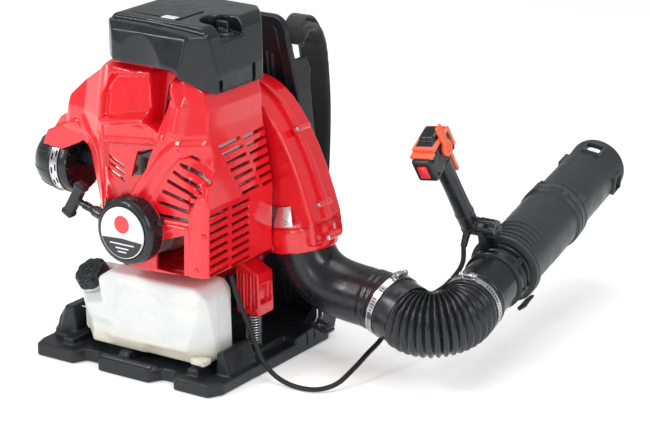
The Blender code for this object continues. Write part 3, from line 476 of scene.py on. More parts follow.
def arc(centre, radius, start, end, count):
    turns = [math.radians(start + (end - start) * i / (count - 1)) for i in range(count)]
    return [(centre[0] + radius * math.cos(t), centre[1] + radius * math.sin(t)) for t in turns]


def bezier(points, t):
    a, b, c, d = points
    s = 1 - t
    return a * s ** 3 + b * (3 * s * s * t) + c * (3 * s * t * t) + d * t ** 3


def smooth_route(points, spacing):
    """Points at an even spacing on a Catmull-Rom curve through the route's own points."""
    pts = [Vector(p) for p in points]
    pts = [pts[0] * 2 - pts[1]] + pts + [pts[-1] * 2 - pts[-2]]
    fine = []
    for i in range(1, len(pts) - 2):
        p0, p1, p2, p3 = pts[i - 1:i + 3]
        for k in range(20):
            t = k / 20
            fine.append(0.5 * (2 * p1 + (p2 - p0) * t + (2 * p0 - 5 * p1 + 4 * p2 - p3) * t * t
                               + (3 * p1 - p0 - 3 * p2 + p3) * t ** 3))
    fine.append(pts[-2])
    total = sum((b - a).length for a, b in zip(fine, fine[1:]))
    count = max(2, round(total / spacing))
    wanted = [total * i / count for i in range(count + 1)]
    result, walked, k = [fine[0]], 0.0, 0
    for target in wanted[1:-1]:
        while walked + (fine[k + 1] - fine[k]).length < target:
            walked += (fine[k + 1] - fine[k]).length
            k += 1
        step = fine[k + 1] - fine[k]
        result.append(fine[k] + step * ((target - walked) / step.length))
    result.append(fine[-1])
    return result


def tube_faces(rows, sides, first=0):
    """Quads between rows of vertices that go round a tube."""
    faces = []
    for k in range(rows - 1):
        for i in range(sides):
            j = (i + 1) % sides
            low, high = first + k * sides, first + (k + 1) * sides
            faces.append((low + i, low + j, high + j, high + i))
    return faces


def end_caps(rows, sides):
    return [tuple(range(sides))[::-1], tuple((rows - 1) * sides + i for i in range(sides))]


def sheet_faces(rows, columns):
    """Quads of two sheets of (rows + 1) x (columns + 1) vertices, the second facing the other way."""
    size = (rows + 1) * (columns + 1)
    faces = []
    for i in range(rows):
        for j in range(columns):
            a = i * (columns + 1) + j
            quad = (a, a + 1, a + columns + 2, a + columns + 1)
            faces.append(quad)
            faces.append(tuple(size + v for v in quad[::-1]))
    return faces


def heading(path, k):
    """Direction of a path at its point k."""
    return (path[min(k + 1, len(path) - 1)] - path[max(k - 1, 0)]).normalized()


def loft(centres, radii, sides, wall=0.0):
    """A round skin along centres; closed at the ends, or a pipe when a wall is given."""
    count = len(centres)
    frames = [placed(centre, centres[min(k + 1, count - 1)] - centres[max(k - 1, 0)])
              for k, centre in enumerate(centres)]
    verts, faces = [], []

    def add_skin(thinner, flip):
        first = len(verts)
        for turn, radius in zip(frames, radii):
            for i in range(sides):
                angle = 2 * math.pi * i / sides
                reach = radius - thinner
                verts.append(turn @ Vector((reach * math.cos(angle), reach * math.sin(angle), 0)))
        for face in tube_faces(count, sides, first):
            faces.append(face[::-1] if flip else face)
        return first

    outer = add_skin(0, False)
    last = (count - 1) * sides
    if wall:
        inner = add_skin(wall, True)
        for k in (0, last):
            for i in range(sides):
                j = (i + 1) % sides
                face = [outer + k + i, inner + k + i, inner + k + j, outer + k + j]
                faces.append(face if k == 0 else face[::-1])
    else:
        faces += end_caps(count, sides)
    return skin("loft", verts, faces)


def cord(path, radius, sides):
    return loft(path, [radius] * len(path), sides)


def screw_head(point, direction, radius, height=0.0022):
    """Domed socket screw with its washer."""
    return turned([(0, height * 0.55), (radius * 0.5, height * 0.55), (radius * 0.55, height),
                   (radius * 0.85, height * 0.9), (radius, height * 0.45), (radius, 0.0008),
                   (radius * 1.5, 0.0006), (radius * 1.5, -0.001), (0, -0.001)],
                  point, Vector(direction).normalized(), 24)


# ---- camera, light and floor ----
def make_camera():
    """Long lens, slightly above, looking at the machine's front right corner."""
    data = bpy.data.cameras.new("camera")
    data.lens = LENS
    data.sensor_width = SENSOR
    camera = bpy.data.objects.new("camera", data)
    level = math.cos(CAMERA_ELEVATION)
    back = Vector((math.sin(CAMERA_AZIMUTH) * level, -math.cos(CAMERA_AZIMUTH) * level,
                   math.sin(CAMERA_ELEVATION)))
    camera.location = CAMERA_PLACE
    camera.rotation_mode = "QUATERNION"
    camera.rotation_quaternion = back.to_track_quat("Z", "Y")
    bpy.context.scene.collection.objects.link(camera)
    bpy.context.scene.camera = camera


def make_light(name, place, target, size, power):
    data = bpy.data.lights.new(name, "AREA")
    data.shape = "RECTANGLE"
    data.size, data.size_y = size
    data.energy = power
    lamp = link(name, data)
    lamp.location = place
    lamp.rotation_mode = "QUATERNION"
    lamp.rotation_quaternion = (Vector(place) - Vector(target)).to_track_quat("Z", "Y")


def make_studio():
    """Pale floor that glows a little, white surroundings and five soft lights."""
    shape = bmesh.new()
    bmesh.ops.create_grid(shape, x_segments=2, y_segments=2, size=FLOOR_HALF)
    floor = link("floor", mesh_of("floor", shape))
    made, tree, shader = new_material("floor")
    tree.links.new(patches(tree, coordinates(tree), 3, 4, 0.5, 0.62), shader.inputs["Roughness"])
    dial(shader, Base_Color=(0.93, 0.93, 0.93, 1), Specular_IOR_Level=0.25, Emission_Color=(1, 1, 1, 1),
         Emission_Strength=FLOOR_GLOW)
    floor.data.materials.append(made)
    world = bpy.data.worlds.new("world")
    world.use_nodes = True
    dial(world.node_tree.nodes["Background"], Color=(1, 1, 1, 1), Strength=WORLD_LIGHT)
    bpy.context.scene.world = world
    make_light("key", (-1.6, -2.0, 2.6), (0, 0, 0.25), (0.9, 0.8), 38)
    make_light("side", (2.6, -0.9, 1.7), (0.1, 0, 0.25), (0.6, 1.6), 25)
    make_light("top", (0.2, 0.4, 3.0), (0.1, 0, 0.2), (2.0, 1.6), 30)
    make_light("edge_strip", (-1.0, -2.3, 1.6), (0, 0, 0.3), (0.16, 0.9), 15)
    make_light("low_front", (0.6, -3.0, 0.7), (0, 0, 0.3), (1.0, 0.5), 8)
    bpy.context.scene.view_settings.view_transform = "Standard"


make_camera()
make_studio()


# ---- throttle cable ----
CABLE_LOWER = [(0.145, -0.089, 0.1665), (0.152, -0.086, 0.136), (0.162, -0.078, 0.1),
               (0.173, -0.074, 0.068), (0.184, -0.069, 0.036), (0.207, -0.067, 0.013),
               (0.243, -0.071, 0.0055), (0.279, -0.064, 0.0055), (0.298, -0.038, 0.01),
               (0.303, 0.0, 0.022), (0.303, 0.04, 0.034), (0.304, 0.08, 0.048),
               (0.3015, 0.104, 0.076), (0.2995, 0.113, 0.1005)]
CABLE_HOSE = [(0.2995, 0.113, 0.1195), (0.303, 0.1155, 0.125), (0.313, 0.122, 0.127),
              (0.328, 0.1275, 0.119), (0.338, 0.1292, 0.1138), (0.3462, 0.1316, 0.1112)]
CABLE_TUBE = [(0.35, 0.1329, 0.1106), (0.3575, 0.142, 0.1108), (0.366, 0.156, 0.118), (0.372, 0.169, 0.127)]
CABLE_HANDLE = [(0.3726, 0.1702, 0.1282), (0.3775, 0.182, 0.14), (0.379, 0.191, 0.154),
                (0.3757, 0.197, 0.1735)]


def make_cable(route, node):
    """One length of the outer cable, with its fine spiral ribs."""
    path = smooth_route(route, 0.0008)
    radii = [CABLE_R - 0.00035 * (0.5 - 0.5 * math.cos(2 * math.pi * k / 3)) for k in range(len(path))]
    cable = finish(loft(path, radii, 14), "throttle_" + node, "cord_black", None, node, 60)
    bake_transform(cable)


def make_cables():
    make_cable(CABLE_LOWER, "cable_lower")
    make_cable(CABLE_HOSE, "cable_hose")
    make_cable(CABLE_TUBE, "cable_tube")
    make_cable(CABLE_HANDLE, "cable_handle")


make_cables()


# ---- outlet elbow, bellows hose and their bands ----
RIB_COUNT = 16
RIB_DEPTH = 0.005
BEND_SHIFT = 0.0055
STEPS_PER_RIB = 14
CHORD_MIDDLE = (HOSE_START + HOSE_END) / 2
BEND_CENTRE = CHORD_MIDDLE + (CHORD_MIDDLE - bezier(HOSE_CURVE, 0.5)).normalized() * 0.012
# The middle ring takes one rib, half a rib either side of the hose's middle.
LOW, HIGH = 0.5 - 0.5 / RIB_COUNT, 0.5 + 0.5 / RIB_COUNT


def bellows(start, end, name, body_from, body_to, replaced):
    """Deep round convolutions, crowded together on the inside of the bend."""
    steps = round((end - start) * RIB_COUNT * STEPS_PER_RIB)
    centres, radii = [], []
    for k in range(steps + 1):
        t = start + (end - start) * k / steps
        bend = math.sin(math.pi * t) ** 0.6 if 0 < t < 1 else 0
        phase = 0.5 + 0.5 * math.cos(2 * math.pi * t * RIB_COUNT)
        crest = 0.05 + 0.0008 * bend - 0.0028 * t
        middle = bezier(HOSE_CURVE, t)
        centres.append(middle + (middle - BEND_CENTRE).normalized() * BEND_SHIFT * bend)
        radii.append(crest - RIB_DEPTH * (1 - phase ** 0.6))
    item = finish(loft(centres, radii, 80, 0.002), name, "hose_black", None, replaced, 60)
    if body_to is None:
        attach(item, body_from)
    else:
        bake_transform(item)


def ribbed_pipe(start, direction, profile, wall):
    """A straight sleeve from (distance, outer radius) pairs."""
    outside = [(r, s) for s, r in profile]
    inside = [(min(r for _, r in profile) - wall, s) for s in (profile[-1][0], profile[0][0])]
    return turned(outside + inside, start, direction, 80, True)


def rounded_rib(s, low, high, half=0.0022):
    return [(s - half * 1.5, low), (s - half, low + (high - low) * 0.7), (s - half * 0.4, high),
            (s + half * 0.4, high), (s + half, low + (high - low) * 0.7), (s + half * 1.5, low)]


def make_elbow():
    """Smooth rubber elbow with raised ribs before its band."""
    steps = 64
    marks = [0.975 * k / steps for k in range(steps + 1)]
    radii = []
    for t in marks:
        swell = 0.0016 * max(math.exp(-((t - c) / 0.012) ** 2) for c in (0.8, 0.845, 0.89))
        radii.append(ELBOW_R - 0.0006 + swell)
    pipe = loft([bezier(ELBOW_CURVE, t) for t in marks], radii, 80, 0.0045)
    clip = block((0.011, 0.02, 0.01), ELBOW_END + Vector((-0.022, 0.052, 0)), 0.0015, 2)
    finish(join(pipe, clip), "outlet_elbow_pipe", "hose_black", "outlet_elbow", "elbow", 45)
    cuff = ribbed_pipe(ELBOW_END - ELBOW_DIR * 0.028, ELBOW_DIR,
                       [(0, 0.0478), (0.003, 0.0489), (0.028 + HOSE_CUFF - 0.0004, 0.0489)], 0.0012)
    finish(cuff, "hose_lower_cuff", "hose_black", "outlet_elbow")


def make_bellows():
    bellows(0.0, LOW, "bellows_lower", "outlet_elbow", "hose_middle", "hose_lower")
    bellows(LOW + 0.0002, HIGH - 0.0002, "bellows_middle", "hose_middle", None, "hose_mid_ring")
    bellows(HIGH, 0.998, "bellows_upper", "hose_middle", "wand", "hose_upper")
    profile = [(0, 0.0462), (0.018, 0.0462)] + rounded_rib(0.0215, 0.0462, 0.048)
    profile += rounded_rib(0.0285, 0.0462, 0.048) + [(0.034, 0.0462), (0.036, 0.045)]
    finish(ribbed_pipe(HOSE_END, TUBE_DIR, profile, 0.0012), "hose_upper_cuff", "hose_black", "wand")


def make_band(name, start, direction, radius, body):
    """Worm-drive band: perforated strip, screw housing with a slotted hexagon head, folded ends."""
    band = hoop(radius, radius + 0.001, start, direction, 0, 0.011, 96)
    middle = placed(start + direction * 0.0055, direction)
    holes = []
    for i in range(16):
        turn = math.radians(128 + 5.5 * i)
        out = middle.to_3x3() @ Vector((math.cos(turn), math.sin(turn), 0))
        spot = middle.translation + out * radius
        holes.append(box((0.0016, 0.006, 0.006), spot, out, direction))
    band = cut(band, gather(holes))
    lip = []
    for edge in (0.0006, 0.0104):
        lip.append(hoop(radius, radius + 0.0016, start, direction, edge - 0.0006, edge + 0.0006, 96))
    top = middle @ Vector((0, radius + 0.0052, 0))
    side = middle.to_3x3() @ X
    housing = block((0.015, 0.0075, 0.01), top, 0.0012, 2, direction, Z)
    saddle = block((0.022, 0.0022, 0.0104), middle @ Vector((0, radius + 0.0018, 0)),
                   0.0006, 2, direction, Z)
    worm = [rod(0.0034, top, side, -0.0125, 0.0115, 24)]
    for i in range(6):
        at = top - side * (0.0118 - 0.0007 * i)
        worm.append(rod(0.0037, at, side, 0, 0.0004, 24))
    head = rod(0.0048, top, side, 0.0105, 0.015, 6)
    head = cut(bevel(head, 0.0005, 2), box((0.0012, 0.012, 0.003), top + side * 0.0152, side, direction))
    finish([band, housing, saddle, head] + lip + worm, name + "_strap", "steel", body, name, 40)


make_elbow()
make_bellows()
make_band("band_elbow", ELBOW_END - ELBOW_DIR * 0.018, ELBOW_DIR, 0.0495, "outlet_elbow")
make_band("band_tube", TUBE_MARK + TUBE_DIR * (HOSE_STOP + 0.006), TUBE_DIR, 0.0467, "wand")


# ---- tubes ----
def along_tube(s):
    return TUBE_MARK + TUBE_DIR * s


TUBE_PLACE = placed(TUBE_MARK, TUBE_DIR)
TUBE_FRAME = placed((0, 0, 0), TUBE_DIR).to_3x3()


def tube_out(degrees):
    """Outward direction at an angle round the tube; 90 degrees is its top."""
    turn = math.radians(degrees)
    return TUBE_FRAME @ Vector((math.cos(turn), math.sin(turn), 0))


def on_tube(item):
    """Move a piece turned round Z to the tube's axis."""
    item.matrix_world = TUBE_PLACE
    return bake(item)


def tube_block(size, s, degrees, reach, width=0.0012):
    """A block that stands out from the tube; its size is given across, outwards and along the tube."""
    out = tube_out(degrees)
    return block(size, along_tube(s) + out * reach, width, 2, TUBE_DIR, out)


def tube_screw(s, degrees, reach, radius, height):
    out = tube_out(degrees)
    return screw_head(along_tube(s) + out * reach, out, radius, height)


def surface_rib(start_s, end_s, from_deg, to_deg, radius, thick):
    """A rounded rib that winds along a tube's surface."""
    count = 28
    spots = []
    for k in range(count + 1):
        f = k / count
        out = tube_out(from_deg + (to_deg - from_deg) * f)
        spots.append(along_tube(start_s + (end_s - start_s) * f) + out * radius)
    widths = [thick * min(1.0, 0.5 + 4 * min(k, count - k) / count) for k in range(count + 1)]
    return loft(spots, widths, 12)


def make_swivel():
    """Inner pipe with its ridged clamp ring, bosses, seam and the two-sided handle bracket."""
    profile = [(HOSE_STOP + 0.0003, SWIVEL_R)]
    for s in (0.036, 0.052, 0.068):
        profile += rounded_rib(s, SWIVEL_R + (0.0022 if s == 0.052 else 0), 0.048, 0.0017)
    profile += [(0.0715, SWIVEL_R), (0.175, SWIVEL_R)]
    pipe = on_tube(ribbed_pipe((0, 0, 0), Z, profile, 0.003))
    extras = []
    for degrees in (20, 62, 140, 200):
        extras.append(tube_block((0.009, 0.005, 0.032), 0.052, degrees, 0.0462))
        extras.append(tube_screw(0.052, degrees, 0.0487, 0.0022, 0.0016))
    for degrees in (35, 160):
        extras.append(surface_rib(-0.018, 0.033, degrees, degrees, SWIVEL_R - 0.0002, 0.0009))
    foot = along_tube(0.05) + Vector((-0.018, 0, 0.038))
    head = HANDLE_PIVOT + X * 0.003
    run = head - foot
    arm = block((0.0085, 0.024, run.length + 0.01), (head + foot) / 2, 0.002, 2, run, Y)
    for side in (-1, 1):
        spot = (head + foot) / 2 + Vector((0.001, side * 0.0105, 0))
        arm = join(arm, block((0.013, 0.003, run.length), spot, 0.001, 2, run, Y))
    boss = rod(0.0145, HANDLE_PIVOT, X, -0.0035, 0.0115)
    boss = bevel(boss, 0.0012, 2)
    teeth = [box((0.0016, 0.012, 0.0016), HANDLE_PIVOT + X * 0.004 + out * 0.0145, out, X)
             for out in (compass(18 * i) for i in range(20))]
    finish([pipe, join(arm, boss)] + extras + teeth, "swivel_pipe_shell", "hose_black", "wand",
           "swivel_pipe", 40)


def make_sliding_tube():
    """Telescoping grey pipe: end collars, curved ribs that end in notches, seams and a dowel mark."""
    s0 = TUBE_ONE_S
    profile = [(s0, 0.0552), (s0 + 0.001, 0.056), (s0 + 0.006, 0.056), (s0 + 0.007, 0.0545),
               (s0 + 0.009, 0.0545), (s0 + 0.01, 0.056), (s0 + 0.015, 0.056), (s0 + 0.018, TUBE_R),
               (s0 + 0.176, TUBE_R), (s0 + 0.179, 0.0532), (s0 + 0.184, 0.0535), (s0 + 0.186, 0.0516),
               (s0 + 0.189, 0.0516), (s0 + 0.191, 0.0535), (s0 + 0.196, 0.053)]
    inside = [(0.0447, s0 + 0.196), (0.0447, s0)]
    pipe = on_tube(turned([(r, s) for s, r in profile] + inside, (0, 0, 0), Z, 96, True))
    extras = []
    for i in range(4):
        start = s0 + 0.026 + 0.0125 * i
        extras.append(surface_rib(start, start + 0.006, 150, 22 - 3 * i, TUBE_R, 0.002))
        extras.append(tube_block((0.008, 0.005, 0.0095), start + 0.006, 20 - 3 * i, 0.0508))
    for degrees in (35, 215):
        extras.append(surface_rib(s0 + 0.084, s0 + 0.176, degrees, degrees, TUBE_R - 0.0002, 0.0007))
    for degrees in (60, 120, 300):
        extras.append(tube_block((0.01, 0.004, 0.016), s0 + 0.1875, degrees, 0.0528, 0.001))
    extras.append(tube_screw(s0 + 0.125, 38, 0.0496, 0.0018, 0.0012))
    for degrees in (-52, -68):
        extras.append(tube_block((0.004, 0.012, 0.016), s0 + 0.008, degrees, 0.058, 0.001))
    finish([pipe] + extras, "sliding_tube_shell", "tube_grey", "sliding_tube", "tube_one", 40)


def make_latch():
    """Hooked locking lever with a rolled tip and its pin."""
    lean_out = Vector((0.62, 0.1, -0.78))
    out = (lean_out - TUBE_DIR * lean_out.dot(TUBE_DIR)).normalized()
    point = along_tube(TUBE_ONE_S + 0.008) + out * 0.0605
    across = out.cross(TUBE_DIR).normalized()
    blade = box((0.015, 0.0055, 0.03), point - TUBE_DIR * 0.016 - out * 0.0005, TUBE_DIR, out)
    tip = rod(0.0035, point - TUBE_DIR * 0.03, across, -0.0078, 0.0078, 24)
    lever = moulded(join(blade, tip), 0.0006, 6)
    ribs = [rod(0.0008, point - TUBE_DIR * (0.019 + 0.003 * i) + out * 0.0024, across, -0.006, 0.006, 10)
            for i in range(3)]
    pin = cylinder(0.0016, point - across * 0.008, point + across * 0.008, 16)
    finish([lever, pin] + ribs, "tube_latch_lever", "black_shell", "latch", "tube_latch", 40)


def make_nozzle():
    """Nozzle pipe: bayonet collar, framed windows, rolled mouth."""
    s0 = NOZZLE_S
    profile = [(s0, 0.0515), (s0 + 0.001, 0.0525), (s0 + 0.006, 0.0525), (s0 + 0.0075, 0.0505),
               (s0 + 0.01, 0.0505), (s0 + 0.0115, 0.0525), (s0 + 0.016, 0.0522), (s0 + 0.02, 0.0478),
               (s0 + 0.1, 0.0472), (s0 + 0.178, 0.0466), (s0 + 0.18, 0.0478), (s0 + 0.186, 0.0478),
               (s0 + 0.187, 0.0465)]
    inside = [(0.043, s0 + 0.187), (0.044, s0)]
    pipe = on_tube(turned([(r, s) for s, r in profile] + inside, (0, 0, 0), Z, 96, True))
    extras = []
    for degrees in (100, 10, 190):
        out = tube_out(degrees)
        middle = along_tube(0.425) + out * 0.045
        pipe = cut(pipe, block((0.026, 0.03, 0.024), middle, 0.003, 3, TUBE_DIR, out, 60))
        side = out.cross(TUBE_DIR).normalized()
        for sign in (-1, 1):
            extras.append(block((0.003, 0.013, 0.03), middle + side * sign * 0.0146 - out * 0.001, 0.001, 2,
                                TUBE_DIR, out))
            extras.append(block((0.03, 0.0085, 0.003), middle + TUBE_DIR * sign * 0.0136 + out * 0.0022,
                                0.001, 2, TUBE_DIR, out))
    for degrees in (55, 145, 235, 325):
        extras.append(tube_block((0.012, 0.0045, 0.02), s0 + 0.012, degrees, 0.0512))
    for degrees in (78, 258):
        extras.append(surface_rib(s0 + 0.022, s0 + 0.112, degrees, degrees, 0.0472, 0.0007))
    extras.append(tube_screw(0.449, 40, 0.0464, 0.002, 0.0014))
    finish([pipe] + extras, "nozzle_pipe", "tube_grey", "nozzle", "end_tube", 40)


make_swivel()
make_sliding_tube()
make_latch()
make_nozzle()


# ---- handle ----
CRUISE_PIVOT = HEAD_MID + GRIP_SIDE * 0.0184
TRIGGER_PIVOT = GRIP_TOP - GRIP_DIR * 0.004 + GRIP_BACK * 0.02
SWITCH_PIVOT = HEAD_MID - GRIP_DIR * 0.008 - GRIP_BACK * 0.045


def on_head(side, back, up):
    """A point measured from the middle of the control head, along the grip's own axes."""
    return HEAD_MID + GRIP_SIDE * side + GRIP_BACK * back + GRIP_DIR * up


def make_grip():
    """Moulded grip: swollen ends, long side ribs, cable relief and a toothed foot."""
    long = (GRIP_TOP - GRIP_FOOT).length
    profile = [(0, long), (0.014, long), (0.0148, long - 0.003), (0.0144, long - 0.012), (0.0138, 0.075),
               (0.0142, 0.045), (0.0148, 0.03), (0.0148, 0.008), (0.0135, 0.004), (0, 0.004)]
    stem = turned(profile, GRIP_FOOT, GRIP_DIR, 64)
    extras = []
    for turn in (0, 180):
        for offset in (-1, 1):
            angle = math.radians(turn + offset * 16)
            out = GRIP_SIDE * math.cos(angle) + GRIP_BACK * math.sin(angle)
            extras.append(cord([GRIP_FOOT + GRIP_DIR * (0.02 + 0.01 * k) + out * 0.0138 for k in range(11)],
                               0.0009, 10))
    collar = hoop(0.0125, 0.0154, GRIP_FOOT, GRIP_DIR, 0.026, 0.031)
    foot = bevel(rod(0.014, HANDLE_PIVOT, X, -0.03, -0.0038), 0.0015, 2)
    start = GRIP_FOOT + Vector((-0.003, -0.003, -0.006))
    end = GRIP_FOOT + Vector((-0.0033, -0.0143, -0.0302))
    relief = loft([start + (end - start) * k / 40 for k in range(41)],
                  [0.0063 - 0.0012 * k / 40 + 0.0005 * math.cos(2 * math.pi * k / 5)
                   for k in range(41)], 24)
    body = moulded(join(stem, foot, relief), 0.0008, 4)
    for degrees in range(0, 360, 24):
        out = compass(degrees)
        extras.append(box((0.0014, 0.02, 0.0012), HANDLE_PIVOT - X * 0.017 + out * 0.0139, out, X))
    finish([body, collar] + extras, "grip_moulding", "black_shell", "handle", "grip_tube", 40)


def make_control_head():
    """Two-part head: rounded body, nose that holds the stop switch, split line and screws."""
    head = box((0.036, 0.05, 0.044), HEAD_MID, GRIP_DIR, Y)
    nose = box((0.034, 0.032, 0.04), on_head(0, -0.03, -0.008), GRIP_DIR, Y)
    crown = box((0.03, 0.03, 0.016), on_head(0, 0.004, 0.02), GRIP_DIR, Y)
    body = moulded(join(bevel(head, 0.005, 2), bevel(nose, 0.004, 2), bevel(crown, 0.005, 2)), 0.0009, 6)
    groove = cut(box((0.0007, 0.2, 0.2), HEAD_MID, GRIP_DIR, Y),
                 box((0.002, 0.047, 0.041), HEAD_MID, GRIP_DIR, Y))
    groove = keep(groove, box((0.01, 0.07, 0.06), HEAD_MID, GRIP_DIR, Y))
    socket = rod(0.0151, GRIP_TOP, GRIP_DIR, -0.02, 0.0003)
    well = box((0.0172, 0.0134, 0.0232), SWITCH_PIVOT, GRIP_DIR, Y)
    body = cut(body, groove, socket, well)
    extras = [screw_head(on_head(0.0178, b, u), GRIP_SIDE, 0.0019, 0.0012)
              for b, u in ((0.018, -0.016), (-0.036, 0.004), (-0.036, -0.02))]
    for i in range(4):
        extras.append(block((0.0012, 0.016, 0.0016), on_head(0.018, -0.006, -0.016 + 0.004 * i),
                            0.0004, 1, GRIP_DIR, Y))
    finish([body] + extras, "control_head_moulding", "black_shell", "handle", "control_head", 40)


def make_controls():
    """Cruise lever, ridged trigger and rocker switch."""
    hub = bevel(rod(0.013, CRUISE_PIVOT, GRIP_SIDE, 0, 0.0052, 64), 0.0012, 3)
    blade = box((0.0055, 0.014, 0.04), CRUISE_PIVOT + GRIP_SIDE * 0.003 + GRIP_DIR * 0.022, GRIP_DIR, Y)
    lever = join(hub, bevel(blade, 0.0018, 3))
    dimple = rod(0.007, CRUISE_PIVOT, GRIP_SIDE, 0.0042, 0.01)
    lever = cut(lever, dimple)
    screw = screw_head(CRUISE_PIVOT + GRIP_SIDE * 0.0042, GRIP_SIDE, 0.003, 0.0014)
    foot = CRUISE_PIVOT + GRIP_SIDE * 0.006
    ribs = [block((0.0012, 0.012, 0.0014), foot + GRIP_DIR * (0.026 + 0.0035 * i), 0.0004, 1, GRIP_DIR, Y)
            for i in range(4)]
    finish([lever, screw] + ribs, "cruise_lever_moulding", "signal_orange", "cruise", "cruise_lever", 40)
    low = TRIGGER_PIVOT - GRIP_DIR * 0.02 + GRIP_BACK * 0.004
    blade = box((0.0115, 0.0068, 0.036), low, GRIP_DIR, Y)
    scoop = rod(0.02, low + GRIP_BACK * 0.0215, GRIP_SIDE, -0.01, 0.01)
    blade = bevel(cut(bevel(blade, 0.0015, 2), scoop), 0.0004, 1)
    ribs = [rod(0.0007, low + GRIP_DIR * (-0.012 + 0.004 * i) + GRIP_BACK * 0.002, GRIP_SIDE, -0.005, 0.005,
                10) for i in range(7)]
    finish([blade] + ribs, "trigger_moulding", "signal_orange", "throttle", "trigger", 40)
    middle = SWITCH_PIVOT - GRIP_BACK * 0.001
    rocker = block((0.0155, 0.0058, 0.0215), middle, 0.0012, 3, GRIP_DIR, Y)
    ribs = [block((0.013, 0.001, 0.001), middle - GRIP_BACK * 0.003 + GRIP_DIR * 0.003 * i, 0.0003, 1,
                  GRIP_DIR, Y) for i in (-2, -1, 0, 1, 2)]
    finish([rocker] + ribs, "stop_switch_rocker", "red_shell", "stop", "stop_switch", 40)


def make_orange_band():
    """Orange L-shaped trim that wraps the top and rear of the head."""
    slab = box((0.0375, 0.011, 0.005), on_head(0, -0.034, 0.0135), GRIP_DIR, Y)
    face = box((0.0374, 0.052, 0.006), on_head(0, -0.002, 0.018), GRIP_DIR, Y)
    drop = box((0.0372, 0.006, 0.034), on_head(0, 0.0236, 0.002), GRIP_DIR, Y)
    trim = cut(join(slab, face, drop), box((0.0345, 0.047, 0.06), on_head(0, -0.001, -0.01), GRIP_DIR, Y))
    finish(bevel(trim, 0.001, 2), "head_trim", "signal_orange", "handle")


def lobed(radius, height, lobes, depth, point, direction, draft=0.92):
    """A lobed knob with a drafted side and a flat-topped crown, from (height, scale) pairs."""
    profile = [(0.0, 0.94), (0.06, 1.0), (0.75, 1.0 - 0.15 * (1 - draft)), (0.9, draft), (1.0, draft),
               (1.0, draft * 0.5)]
    frame_at = placed(point, direction)
    count = 96
    verts = [frame_at @ Vector((0, 0, 0))]
    for f, scale in profile:
        for i in range(count):
            turn = 2 * math.pi * i / count
            reach = radius * scale * (1 - depth * (0.5 - 0.5 * math.cos(lobes * turn)) ** 2)
            verts.append(frame_at @ Vector((reach * math.cos(turn), reach * math.sin(turn), height * f)))
    rows = len(profile)
    faces = tube_faces(rows, count, 1)
    verts.append(frame_at @ Vector((0, 0, height)))
    last = len(verts) - 1
    for i in range(count):
        j = (i + 1) % count
        faces.append((0, 1 + j, 1 + i))
        faces.append((last, 1 + (rows - 1) * count + i, 1 + (rows - 1) * count + j))
    return skin("lobed", verts, faces)


def make_handle_knob():
    foot = HANDLE_PIVOT + X * 0.0118
    knob = lobed(0.0155, 0.0155, 6, 0.22, foot, X)
    cap = turned([(0, 0.0168), (0.0045, 0.0168), (0.006, 0.0158), (0.006, 0.014), (0, 0.014)], foot, X, 48)
    finish([knob, cap], "handle_clamp_knob", "black_shell", "clamp_knob", "handle_knob", 40)


make_grip()
make_control_head()
make_controls()
make_orange_band()
make_handle_knob()


# ---- sculpting: soft-edged fields pushed into a moulding's front ----
def coordinates_of(item):
    points = np.empty(len(item.data.vertices) * 3)
    item.data.vertices.foreach_get("co", points)
    return points.reshape(-1, 3)


def line_distance(p, q, a, b):
    """Distance from every (p, q) to the segment from a to b."""
    run = np.array([b[0] - a[0], b[1] - a[1]])
    t = ((p - a[0]) * run[0] + (q - a[1]) * run[1]) / (run @ run)
    t = np.clip(t, 0, 1)
    return np.hypot(p - a[0] - run[0] * t, q - a[1] - run[1] * t)


def region_distance(p, q, outline):
    """Signed distance to a closed outline, negative inside."""
    best = np.full(p.shape, 9.0)
    inside = np.zeros(p.shape, bool)
    for a, b in zip(outline, outline[1:] + outline[:1]):
        best = np.minimum(best, line_distance(p, q, a, b))
        if a[1] != b[1]:
            crosses = (a[1] > q) != (b[1] > q)
            at = a[0] + (q - a[1]) * (b[0] - a[0]) / (b[1] - a[1])
            inside ^= crosses & (p < at)
    return np.where(inside, -best, best)


def ease(values):
    values = np.clip(values, 0, 1)
    return values * values * (3 - 2 * values)


def route_distance(p, q, route):
    best = np.full(p.shape, 9.0)
    for a, b in zip(route, route[1:]):
        best = np.minimum(best, line_distance(p, q, a, b))
    return best


def sculpt(item, recesses, ridges, start, fade, grow=0.0, slope=None):
    """Push vertices along Y inside each (outline, depth, softness) and (route, height, width)."""
    points = coordinates_of(item)
    x, z = points[:, 0], points[:, 2]
    shift = np.zeros(len(points))
    for outline, depth, soft in recesses:
        away = region_distance(x, z, outline) - (grow if depth > 0 else -grow)
        shift += depth * ease(0.5 - away / (2 * soft))
    for route, height, width in ridges:
        shift -= height * ease(1 - route_distance(x, z, route) / width)
    if slope:
        shift += slope(x, z)
    points[:, 1] += shift * ease((start - points[:, 1]) / fade)
    item.data.vertices.foreach_set("co", points.ravel())
    item.data.update()
    return item


